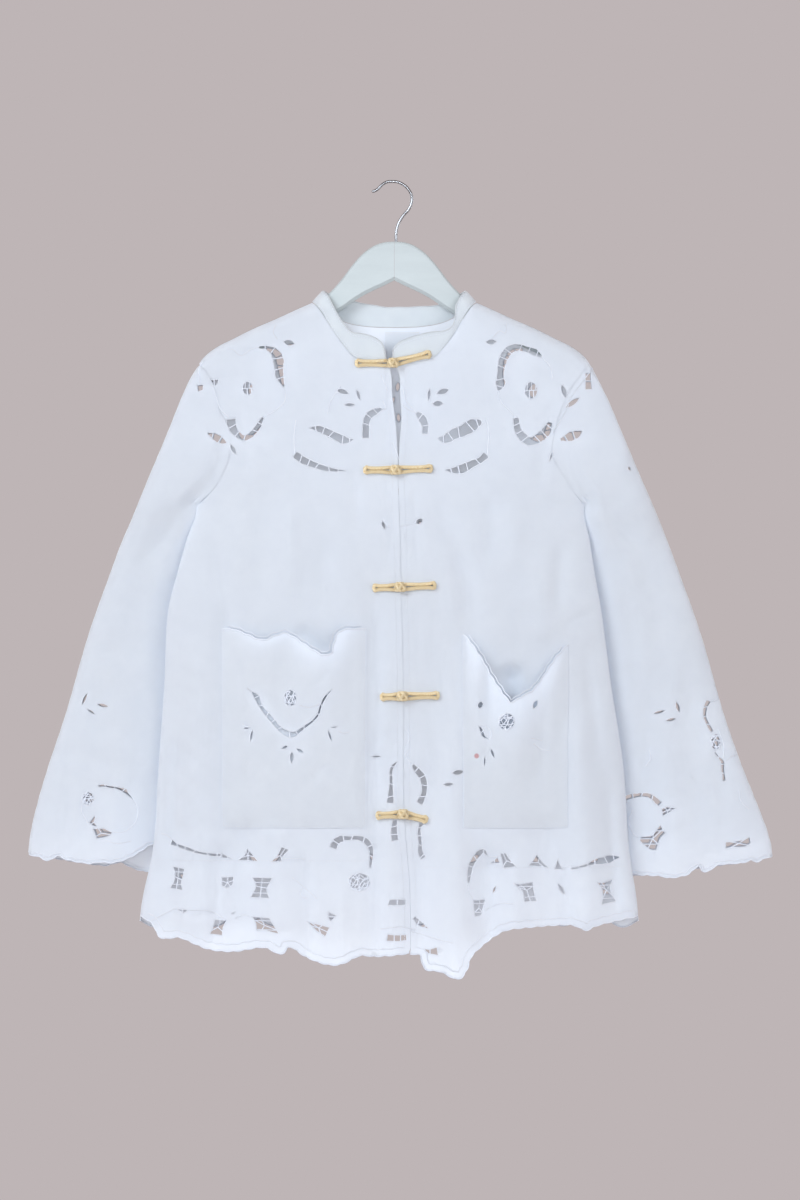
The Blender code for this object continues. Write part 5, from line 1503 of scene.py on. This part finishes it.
def lobed(line, pitch, drop):
    """A free edge with small rounded lobes that hang below its line."""
    travel = np.concatenate(([0], np.cumsum(np.linalg.norm(np.diff(line, axis=0), axis=1))))
    lobes = max(1, round(travel[-1] / pitch))
    even = np.linspace(0, travel[-1], lobes * 6 + 1)
    line = np.stack([np.interp(even, travel, line[:, k]) for k in (0, 1)], -1)
    return line + aside_of(line) * (drop * np.abs(np.sin(np.linspace(0, lobes * np.pi, len(line)))))[:, None]


def inside_line(line, inset):
    """A calmer line that runs beside a free edge, inset into the cloth."""
    calm = line[3:-3:3]
    return smooth_line(calm - aside_of(calm) * inset, STEP_FINE)


def tuck_line(start, end, count, down):
    return np.stack((np.linspace(start, end, count), np.full(count, down)), -1)


def merged(*runs):
    """Runs of points end to end as one outline, repeats dropped."""
    points = np.concatenate([np.asarray(run, float) for run in runs])
    keep = np.linalg.norm(points - np.roll(points, 1, axis=0), axis=1) > 0.3
    return points[keep]


def on_one_side(rows, edge, hand):
    """The rows of cutwork whose middles lie on one side of the opening."""
    found = []
    for row in rows:
        across, down = row[:2] if np.isscalar(row[0]) else np.mean(np.asarray(row)[:, :2], axis=0)
        if (across - float(edge(down))) * hand > 0:
            found.append(row)
    return found


def trimmed(context, name, surface, holes, bars, free_edges, stitch_rows, satin=(), hem=False):
    """The stitched cut edges, thread bars and rows of stitches of one panel, as one piece."""
    s = jacket(context).edge
    thread = white_thread(context)
    middle = WALL - jacket(context).cloth.thickness / MM / 2
    inset = (s.hem_inset if hem else s.satin_inset) / MM
    satin = [smooth_line(line, STEP_FINE) for line in satin] + [inside_line(line, inset) for line in free_edges]
    # Columns: end of the name, lines, offset, radius, step, sides
    threads = (
        ("", [(loop, True) for loop in holes], middle, s.rim_radius, 1.6, 6),
        ("_bars", [(straight_line(line, 3.0, closed), closed) for line, closed in bars], middle, s.bar_radius, 2.0, 5),
        ("_edges", [(line, False) for line in free_edges], middle, s.hem_radius, 1.6, 6),
        ("_satin", [(line, False) for line in satin], WALL, s.satin_radius, 2.0, 6),
    )
    made = [
        thread_piece(name + end, laid(surface, lines, offset), radius / MM, thread, step, sides)
        for end, lines, offset, radius, step, sides in threads if lines
    ]
    if stitch_rows:
        lines = laid(surface, [(line, False) for line in stitch_rows], WALL + 0.05)
        made.append(stitch_piece(name + "_rows", lines, s, thread))
    piece = joined(made[0], made[1:])
    piece.name = name
    return piece


def panel(context, name, surface, outline, cuts, free_edges, stitch_rows=(), hem=False, finish=cloth_finish):
    """One panel of cloth with its cutwork, and its trim as a second piece."""
    leaves, bands, blocks, wheels, satin = (cuts.get(kind, ()) for kind in FRONT_CUTS)
    holes = holes_of(leaves, bands, blocks, wheels)
    piece = cloth_piece(name, surface, outline, holes, jacket(context).cloth, finish(context))
    bars = bars_of(bands, blocks, wheels)
    return piece, trimmed(context, name + "_trim", surface, holes, bars, free_edges, stitch_rows, satin, hem)


def lobed_edge(context, line, way=1):
    edges = jacket(context).edge
    return lobed(line, edges.lobe_pitch / MM, way * edges.lobe_drop / MM)


class JACKET_OT_fronts(bpy.types.Operator):
    """Two fronts with their cutwork, edges and stitching"""

    bl_idname = "jacket.fronts"
    bl_label = "Fronts"

    def execute(self, context):
        surface = Body(FRONT_SIDE, MOUTH_HOLLOWS)
        for name, hand, hem, edge in (
            ("front_left", -1, HEM_LEFT, opening_left),
            ("front_right", 1, HEM_RIGHT, opening_right),
        ):
            hem_line = lobed_edge(context, smooth_line(hem, STEP_COARSE))
            if hand > 0:
                hem_line = hem_line[::-1]
            opening = opening_points(hand, float(hem_line[-1][1]) - 3)
            neck = [opening[0], *neck_line(NECK_FRONT, hand), *neck_line([NECK_SHOULDER], hand)]
            neck = smooth_line(neck, STEP_COARSE)
            side = side_points(hand, ARMHOLE[-1][0], float(hem_line[0][1]))
            outline = merged(neck, shoulder_points(hand), armhole_points(hand), side, hem_line, opening[::-1])
            cuts = {kind: on_one_side(rows, edge, hand) for kind, rows in FRONT_CUTS.items()}
            inset = opening + np.array((hand * OPENING_STITCH_INSET, 0))
            start, end, count = FRONT_TUCK
            tuck = tuck_line(hand * start, hand * end, count, FRONT_TUCK_DOWN[hand])
            piece, trim = panel(context, name, surface, outline, cuts, [hem_line], [inset, tuck], hem=True)
            settle(trim, ())
            settle(piece, (name,))
        return {"FINISHED"}


def pocket_frame(name, inset=0.0):
    """The two sides and the bottom of a pocket, down, across and up."""
    sizes = POCKETS[name]
    left, right, bottom = sizes["left"] + inset, sizes["right"] - inset, sizes["bottom"] - inset
    left_top, right_top = sizes["mouth"][0][1] + inset, sizes["mouth"][-1][1] + inset
    return [(left, left_top), (left, bottom), (right, bottom), (right, right_top)]


class JACKET_OT_back(bpy.types.Operator):
    """The back, in one piece, with its border"""

    bl_idname = "jacket.back"
    bl_label = "Back"

    def execute(self, context):
        surface = Body(BACK_SIDE)
        spacing, down, length, width = BACK_BORDER_LEAVES
        count = int(BACK_BORDER_REACH / spacing)
        leaves = [(GARMENT_MIDDLE + k * spacing, down, length, width, 35 * (-1) ** k) for k in range(-count, count + 1)]
        leaves = list(BACK_LEAVES) + leaves
        spacing, *shape = BACK_BORDER_BLOCKS
        count = int(BACK_BORDER_REACH / spacing)
        down, top, waist, bottom, height = shape
        half = height / 2
        corners = [(-top, -half), (top, -half), (waist, 0), (bottom, half), (-bottom, half), (-waist, 0)]
        blocks = [
            tuple((GARMENT_MIDDLE + k * spacing + x, down + d) for x, d in corners) for k in range(-count, count + 1)
        ]
        left, right = float(body_left(BACK_HEM_DOWN)), float(body_right(BACK_HEM_DOWN))
        scallops = round((right - left) / BACK_SCALLOP[0])
        run = np.linspace(0, 1, scallops * 10 + 1)
        drop = BACK_SCALLOP[1] * np.abs(np.sin(run * scallops * np.pi))
        hem = np.stack((left + (right - left) * run, BACK_HEM_DOWN + drop), -1)
        ends = [neck_line([NECK_SHOULDER], hand)[0] for hand in (-1, 1)]
        neck = [ends[0], *neck_line(NECK_BACK, -1)[::-1], *neck_line(NECK_BACK, 1)[1:], ends[1]]
        neck = smooth_line(neck, STEP_COARSE)
        sides = {hand: side_points(hand, ARMHOLE[-1][0], BACK_HEM_DOWN) for hand in (-1, 1)}
        outline = merged(
            neck, shoulder_points(1), armhole_points(1), sides[1], hem[::-1],
            sides[-1][::-1], armhole_points(-1)[::-1], shoulder_points(-1)[::-1],
        )
        cuts = {"leaves": leaves, "bands": BACK_BANDS, "blocks": blocks}
        tuck = tuck_line(*BACK_TUCK, BACK_TUCK_DOWN)
        piece, trim = panel(context, "back", surface, outline, cuts, [hem], [tuck], hem=True)
        settle(trim, ())
        settle(piece, ("back",))
        return {"FINISHED"}


class JACKET_OT_sleeves(bpy.types.Operator):
    """Two sleeves, each one tube of cloth with its cuff"""

    bl_idname = "jacket.sleeves"
    bl_label = "Sleeves"

    def execute(self, context):
        for hand, side_name in ((-1, "left"), (1, "right")):
            halves, trims = [], []
            for side in (FRONT_SIDE, BACK_SIDE):
                surface = Sleeve(hand, side)
                seam = armhole_points(hand)
                outer_end, inner_end = CUFF_ENDS[hand]
                start = float(seam[-1][1])
                down = np.linspace(start, inner_end, round((inner_end - start) / 6))
                inner = np.stack((surface.inner(down), down), -1)
                down = np.linspace(outer_end, float(seam[0][1]) + 4, round((outer_end - OPENING_TOP) / 6))
                outer = np.stack((surface.outer(down), down), -1)
                cuff = smooth_line([outer[0], *CUFFS[hand, side], inner[-1]], STEP_COARSE)
                cuff = lobed_edge(context, cuff)
                outline = merged(seam, inner, cuff[::-1], outer)
                name = f"sleeve_{side_name}" + ("" if side == FRONT_SIDE else "_rear")
                piece, trim = panel(context, name, surface, outline, SLEEVE_CUTS[hand], [cuff])
                halves.append(piece)
                trims.append(trim)
            piece = welded(joined(halves[0], halves[1:]), SEAM_WELD)
            trim = joined(trims[0], trims[1:])
            settle(trim, ())
            nodes = (f"sleeve_{side_name}_front", f"sleeve_{side_name}_back")
            settle(piece, nodes)
        return {"FINISHED"}


class JACKET_OT_pockets(bpy.types.Operator):
    """Two patch pockets, slack at the mouth"""

    bl_idname = "jacket.pockets"
    bl_label = "Pockets"

    def execute(self, context):
        for name, cuts in POCKET_CUTS.items():
            mouth = smooth_line(POCKETS[name]["mouth"], STEP_COARSE)
            mouth = lobed_edge(context, mouth[::-1], -1)[::-1]
            outline = merged(straight_line(pocket_frame(name), STEP_COARSE), mouth[::-1])
            rows = [straight_line(pocket_frame(name, POCKET_STITCH_INSET), STEP_COARSE)]
            piece, trim = panel(context, name, Pocket(name), outline, cuts, [mouth], rows, finish=pocket_finish)
            settle(trim, ())
            settle(piece, (name,))
        return {"FINISHED"}


def collar_rails():
    """The collar's lower and upper lines, from its left front corner round the back to the right one."""
    front, back = Body(FRONT_SIDE), Body(BACK_SIDE)
    left_seam = [(float(opening_left(OPENING_TOP)), OPENING_TOP)] + neck_line(NECK_FRONT, -1)
    right_seam = [(float(opening_right(OPENING_TOP)), OPENING_TOP)] + neck_line(NECK_FRONT, 1)
    back_seam = neck_line(NECK_BACK, -1)[:0:-1] + neck_line(NECK_BACK, 1)
    folds = [neck_line([NECK_SHOULDER], hand)[0] for hand in (-1, 1)]
    runs = (
        (left_seam, COLLAR_LEFT, front),
        (folds[:1], (COLLAR_LEFT_FOLD,), None),
        (back_seam, COLLAR_BACK, back),
        (folds[1:], (COLLAR_RIGHT_FOLD,), None),
        (right_seam[::-1], COLLAR_RIGHT[::-1], front),
    )
    lows, highs = [], []
    for seam, edges, surface in runs:
        for (seam_x, seam_d), (edge_x, edge_d, edge_depth) in zip(seam, edges, strict=True):
            depth = 0.0 if surface is None else float(surface.depth(np.float64(seam_x), np.float64(seam_d)))
            low, high = np.array((seam_x, depth, -seam_d)), np.array((edge_x, edge_depth, -edge_d))
            rise = (high - low) / np.linalg.norm(high - low)
            lows.append(low + rise * (0.5 if surface else 1.6))
            highs.append(high)
    return np.array(lows), np.array(highs)


def even_pair(lows, highs, count):
    """Two lines smoothed and cut into the same number of steps."""
    stacked = smooth_line(np.concatenate((lows, highs), axis=1), 3.0)
    travel = np.concatenate(([0], np.cumsum(np.linalg.norm(np.diff(stacked[:, :3], axis=0), axis=1))))
    wanted = np.linspace(0, travel[-1], count)
    even = np.stack([np.interp(wanted, travel, stacked[:, k]) for k in range(6)], -1)
    return even[:, :3], even[:, 3:]


class JACKET_OT_collar(bpy.types.Operator):
    """The stand collar and its edges"""

    bl_idname = "jacket.collar"
    bl_label = "Collar"

    stations: IntProperty(name="Stations", description="Steps along the collar", default=190, min=20)
    levels: IntProperty(name="Levels", description="Steps up the collar", default=9, min=3)

    def execute(self, context):
        s = jacket(context)
        lows, highs = even_pair(*collar_rails(), self.stations)
        run = np.arange(self.stations)
        wave = np.sin(run * 0.21) + 0.6 * np.sin(run * 0.47 + 1)
        points = []
        for j in range(self.levels):
            share = j / (self.levels - 1)
            row = lows + (highs - lows) * share
            row[:, 2] += 0.5 * wave * share**2
            points.append(row)
        grid = np.array(points).transpose(1, 0, 2)
        over, rise = np.gradient(grid, axis=0), np.gradient(grid, axis=1)
        out = np.cross(rise, over)
        out /= np.linalg.norm(out, axis=2, keepdims=True)
        share = np.linspace(0, 1, self.levels)[None, :, None]
        puff = 0.5 * np.sin(share * np.pi) + 0.25 * wave[:, None, None] * np.sin(share * np.pi)
        outer = grid + out * (COLLAR_WALL + puff)
        inner = grid + out * 0.4
        triangles = grid_triangles(self.stations, self.levels)
        mesh = shell_mesh("collar", inner.reshape(-1, 3), outer.reshape(-1, 3), triangles)
        piece = link("collar_band", mesh)
        material = finish_of("collar_cotton", cotton, *COLLAR_TONES)
        mesh.materials.append(material)
        edge = thread_piece("collar_trim", [((inner + outer)[:, -1] / 2, False)], 0.9, material)
        ends = [((inner + outer)[k] / 2, False) for k in (0, -1)]
        rows = [(outer[:, k] + out[:, k] * 0.05, False) for k in (1, self.levels - 2)]
        thread = white_thread(context)
        ends = thread_piece("collar_ends", ends, 0.8, material)
        trim = joined(edge, [ends, stitch_piece("rows", rows, s.edge, thread)])
        settle(trim, ())
        settle(piece, ("collar",))
        return {"FINISHED"}


class JACKET_OT_label(bpy.types.Operator):
    """A bare tab inside the back of the neck"""

    bl_idname = "jacket.label"
    bl_label = "Label"

    def execute(self, context):
        surface = Body(BACK_SIDE)
        left, right, top, bottom = LABEL
        columns, rows = 22, 18
        across, down = np.meshgrid(np.linspace(left, right, columns), np.linspace(top, bottom, rows))
        across, down = across.ravel(), down.ravel()
        point, out = surface_points(surface, surface.to_u(across, down), down)
        curl = 0.5 * ((down - top) / (bottom - top)) ** 2 * (0.4 + 0.6 * np.abs(np.sin(across * 0.16)))
        outer = point - out * (0.5 + curl)[:, None]
        inner = point - out * (0.9 + curl)[:, None]
        piece = link("label_tab", shell_mesh("label", inner, outer, grid_triangles(rows, columns)))
        piece.data.materials.append(finish_of("label_cotton", cotton, *LABEL_TONES, shows_through=0.1))
        settle(piece, ("label",))
        return {"FINISHED"}


def rope_lines(path, closed, settings):
    """The middles of a rope's strands, wound round its path."""
    path = np.asarray(path, float)
    if closed:
        ahead = np.roll(path, -1, axis=0) - np.roll(path, 1, axis=0)
    else:
        ahead = np.gradient(path, axis=0)
    ahead /= np.linalg.norm(ahead, axis=1, keepdims=True)
    side = np.cross(ahead, (0, 1, 0))
    side /= np.linalg.norm(side, axis=1, keepdims=True)
    up = np.cross(side, ahead)
    steps = np.linalg.norm(np.diff(path, axis=0), axis=1)
    travel = np.concatenate(([0], np.cumsum(steps)))
    whole = travel[-1] + (np.linalg.norm(path[0] - path[-1]) if closed else 0)
    turns = max(1, round(whole / (settings.pitch / MM)))
    lines = []
    for k in range(settings.strands):
        angle = 2 * np.pi * (travel / whole * turns + k / settings.strands)
        offset = side * np.cos(angle)[:, None] + up * np.sin(angle)[:, None]
        lines.append((path + offset * (settings.lay / MM), closed))
    return lines


def knot_path(centre, radius, count=150):
    """A woven ball: one cord that crosses itself over and under on its way round."""
    t = np.linspace(0, 2 * np.pi, count, endpoint=False)
    turn, tilt = 3 * t, np.radians(54) * np.sin(4 * t)
    reach = radius * (1 + 0.11 * np.cos(12 * t + 0.6))
    flat = reach * np.cos(tilt)
    ball = np.stack((flat * np.cos(turn), flat * np.sin(turn), reach * np.sin(tilt)), -1)
    return np.asarray(centre) + ball


class JACKET_OT_frogs(bpy.types.Operator):
    """Five cord fastenings, each two loops of twisted cord and a woven ball"""

    bl_idname = "jacket.frogs"
    bl_label = "Cord fastenings"

    def execute(self, context):
        s = jacket(context).cord
        material = finish_of("gold_cord", thread_finish, tuple(s.light), tuple(s.shade), 0.0011, 0.0002)
        graph = context.evaluated_depsgraph_get()
        below = ("front_left_cloth", "front_right_cloth", "collar_band")
        trees = [BVHTree.FromObject(bpy.data.objects[name], graph) for name in below]

        def front_of(across, down):
            hits = [tree.ray_cast(Vector((across * MM, -0.2, -down * MM)), Vector((0, 1, 0)))[0] for tree in trees]
            return min((hit.y / MM for hit in hits if hit is not None), default=0.0)

        cord = (s.strand + s.lay) / MM
        for number, (ball, left_end, right_end) in enumerate(FROGS, 1):
            lines = []
            for end in (left_end, right_end):
                reach = math.dist(ball, end)
                ahead = np.array(((end[0] - ball[0]) / reach, (end[1] - ball[1]) / reach))
                aside = np.array((-ahead[1], ahead[0]))
                start = BALL_RADIUS * 0.55
                runs = [start, start + (reach - start) * 0.45, start + (reach - start) * 0.78, reach - cord]
                there = list(zip(runs, CORD_SPREAD))
                back = [(run, -wide) for run, wide in there[::-1]]
                path = [*there, (reach - 0.4 * cord, 1.8), (reach - 0.4 * cord, -1.8), *back]
                flat = [np.array(ball) + ahead * run + aside * wide for run, wide in path]
                flat = smooth_line(flat, 1.2, closed=True)
                depth = []
                for x, d in flat:
                    near = [front_of(x + dx, d + dd) for dx, dd in ((0, 0), (2.5, 0), (-2.5, 0), (0, 2.5), (0, -2.5))]
                    depth.append(min(near) - cord - 0.2)
                depth = np.convolve(np.pad(depth, 3, mode="wrap"), np.ones(7) / 7, mode="valid")
                lines += rope_lines(np.stack((flat[:, 0], depth, -flat[:, 1]), -1), True, s)
            cords = thread_piece(f"fastening_{number}", lines, s.strand / MM, material, 1.1, 7)
            clear = [front_of(ball[0] + dx, ball[1] + dd) for dx in (-5, -2, 0, 2, 5) for dd in (-5, 0, 5)]
            centre = (ball[0], min(clear) - BALL_RADIUS - 0.9, -ball[1])
            turns = [(knot_path(centre, BALL_RADIUS - KNOT_SINK), True)]
            knot = thread_piece("knot", turns, KNOT_CORD_RADIUS, material, 0.9, 8)
            core = bpy.data.meshes.new("core")
            core.from_pydata(*ball_parts(np.array(centre) * MM, (BALL_RADIUS - CORE_SINK) * MM))
            core.shade_smooth()
            core.materials.append(material)
            piece = joined(cords, [knot, link("core", core)])
            nodes = [f"frog_{number}_{part}" for part in ("left", "ball", "right")]
            settle(piece, nodes)
        return {"FINISHED"}


def ball_parts(centre, radius, rings=7, sides=12):
    """Points, edges and faces of a small closed ball."""
    points = [centre + (0, -radius, 0)]
    for i in range(1, rings):
        polar = math.pi * i / rings
        for k in range(sides):
            turn = 2 * math.pi * k / sides
            flat = radius * math.sin(polar)
            points.append(centre + (flat * math.cos(turn), -radius * math.cos(polar), flat * math.sin(turn)))
    points.append(centre + (0, radius, 0))
    last, faces = len(points) - 1, []
    for k in range(sides):
        n = (k + 1) % sides
        faces += [(0, 1 + n, 1 + k), (last, last - sides + k, last - sides + n)]
        for i in range(rings - 2):
            a, b = 1 + i * sides, 1 + (i + 1) * sides
            faces.append((a + k, a + n, b + n, b + k))
    return [tuple(p) for p in points], [], faces


class JACKET_OT_hanger(bpy.types.Operator):
    """Two painted wooden arms and the wire hook"""

    bl_idname = "jacket.hanger"
    bl_label = "Hanger"

    def execute(self, context):
        s = jacket(context).hanger
        wood = finish_of("hanger_paint", painted_wood, tuple(s.light), tuple(s.shade))
        half = s.thickness / MM / 2
        top_of, bottom_of = curve_through(HANGER_ARM, 1), curve_through(HANGER_ARM, 2)
        end = HANGER_ARM[-1][0]
        stations = np.unique(np.concatenate((np.linspace(0.15, end - 3, 90), np.linspace(end - 3, end, 5))))
        for name, hand in (("hanger_arm_left", -1), ("hanger_arm_right", 1)):
            rings = []
            for x in stations:
                top, bottom = float(top_of(x)) + 0.1, float(bottom_of(x)) - 0.1
                tip = math.sqrt(max(0.0, min(1.0, (end - x) / 5)))
                wide = half * (0.5 + 0.48 * tip)
                rings.append(rounded_section(HANGER_MIDDLE + hand * x, top, bottom, wide))
            mesh = lofted(name, rings, flip=hand < 0)
            mesh.materials.append(wood)
            settle(link(name + "_wood", mesh), (name,))
        wire = finish_of("hook_plating", plated_wire, *HOOK_TONES)
        line = smooth_line(HOOK_LINE, 1.2)
        points = np.stack((line[:, 0], np.zeros(len(line)), -line[:, 1]), -1)
        radius = np.full(len(points), s.wire / MM)
        radius[:3] *= (0.55, 0.9, 1.0)
        hook = link("hook_wire", round_bar("hook_wire", points, radius, 16))
        hook.data.materials.append(wire)
        settle(hook, ("hook",))
        return {"FINISHED"}


def rounded_section(across, top, bottom, half):
    """One section of a hanger arm: round along the top, bevelled along both lower edges."""
    points = []
    high = min(half, (bottom - top) / 2)
    for turn in np.linspace(-90, 90, 13):
        t = math.radians(turn)
        points.append((half * math.sin(t), top + high * 0.9 * (1 - math.cos(t))))
    low = min(4.2, (bottom - top) * 0.3)
    inner = half - min(3.4, half * 0.6)
    points += [(half, bottom - low), (inner, bottom), (-inner, bottom), (-half, bottom - low)]
    return [(across, y, -d) for y, d in points]


def lofted(name, rings, flip):
    """A closed body through like sections."""
    sides = len(rings[0])
    points = [np.array(p) * MM for ring in rings for p in ring]
    faces = [tuple(range(sides)), tuple(range((len(rings) - 1) * sides, len(rings) * sides))[::-1]]
    for i in range(len(rings) - 1):
        for k in range(sides):
            n = (k + 1) % sides
            faces.append((i * sides + k, (i + 1) * sides + k, (i + 1) * sides + n, i * sides + n))
    if flip:
        faces = [face[::-1] for face in faces]
    mesh = bpy.data.meshes.new(name)
    mesh.from_pydata([tuple(p) for p in points], [], faces)
    mesh.shade_smooth()
    mesh.set_sharp_from_angle(angle=math.radians(30))
    return mesh


def round_bar(name, points, radius, sides):
    """A round bar in the plane of the hook, with its radius at each point."""
    ahead = np.gradient(points, axis=0)
    ahead /= np.linalg.norm(ahead, axis=1, keepdims=True)
    side = np.cross(ahead, (0, 1, 0))
    turns = np.linspace(0, 2 * np.pi, sides, endpoint=False)
    rings = [
        [tuple(p + (w * math.cos(t) + np.array((0, 1, 0)) * math.sin(t)) * r) for t in turns]
        for p, w, r in zip(points, side, radius)
    ]
    return lofted(name, rings, flip=False)


class JACKET_OT_stage(bpy.types.Operator):
    """Pale floor, an even pale surround, soft lights and the camera"""

    bl_idname = "jacket.stage"
    bl_label = "Studio"

    def execute(self, context):
        s = jacket(context).stage
        corners = [(x * FLOOR_REACH, y * FLOOR_REACH, FLOOR_HEIGHT) for x, y in ((-1, -1), (1, -1), (1, 1), (-1, 1))]
        mesh = bpy.data.meshes.new("floor")
        mesh.from_pydata(corners, [], [(0, 1, 2, 3)])
        mesh.materials.append(finish_of("floor_paper", floor_paper, tuple(s.floor)))
        link("floor", mesh)
        context.scene.view_settings.view_transform = "Standard"
        world = bpy.data.worlds.new("surround")
        world.use_nodes = True
        world.node_tree.nodes["Background"].inputs["Color"].default_value = (*s.surround, 1)
        context.scene.world = world
        centre = Vector(s.centre)
        for name, place, aim, size, setting, share in LAMPS:
            lamp = bpy.data.lights.new(name, "AREA")
            lamp.energy = getattr(s, setting) * share
            lamp.color = LAMP_COLOUR
            lamp.size = size
            holder = link(name, lamp)
            holder.location = centre + Vector(place)
            holder.rotation_euler = (Vector(aim) - Vector(place)).to_track_quat("-Z", "Y").to_euler()
        camera = bpy.data.cameras.new("camera")
        camera.lens = s.lens
        camera.sensor_width = 36
        camera.clip_end = 60
        holder = link("camera", camera)
        holder.location = centre + Vector((0, -s.distance, 0))
        holder.rotation_euler = (math.pi / 2, 0, 0)
        context.scene.camera = holder
        return {"FINISHED"}


class JACKET_PT_panel(bpy.types.Panel):
    """Everything that builds the jacket, in order"""

    bl_idname = "JACKET_PT_panel"
    bl_label = "Cutwork jacket"
    bl_space_type = "VIEW_3D"
    bl_region_type = "UI"
    bl_category = "Jacket"

    def draw(self, context):
        for step in STEPS:
            self.layout.operator(step.bl_idname)
        for group in ("cloth", "edge", "cord", "hanger", "stage"):
            box = self.layout.box()
            box.label(text=group.capitalize())
            settings = getattr(jacket(context), group)
            for name in settings.bl_rna.properties.keys():
                if name not in ("rna_type", "name"):
                    box.prop(settings, name)


STEPS = (
    JACKET_OT_stage, JACKET_OT_hanger, JACKET_OT_back, JACKET_OT_sleeves, JACKET_OT_fronts,
    JACKET_OT_pockets, JACKET_OT_collar, JACKET_OT_label, JACKET_OT_frogs,
)
CLASSES = (
    ClothSettings, EdgeSettings, CordSettings, HangerSettings, StageSettings, JacketSettings, *STEPS, JACKET_PT_panel,
)


def register():
    for one in CLASSES:
        bpy.utils.register_class(one)
    bpy.types.Scene.jacket = PointerProperty(type=JacketSettings)


def unregister():
    del bpy.types.Scene.jacket
    for one in reversed(CLASSES):
        bpy.utils.unregister_class(one)


def main():
    register()
    for step in ("stage", "hanger", "back", "sleeves", "fronts", "pockets", "collar", "label", "frogs"):
        getattr(bpy.ops.jacket, step)()


if __name__ == "__main__":
    main()
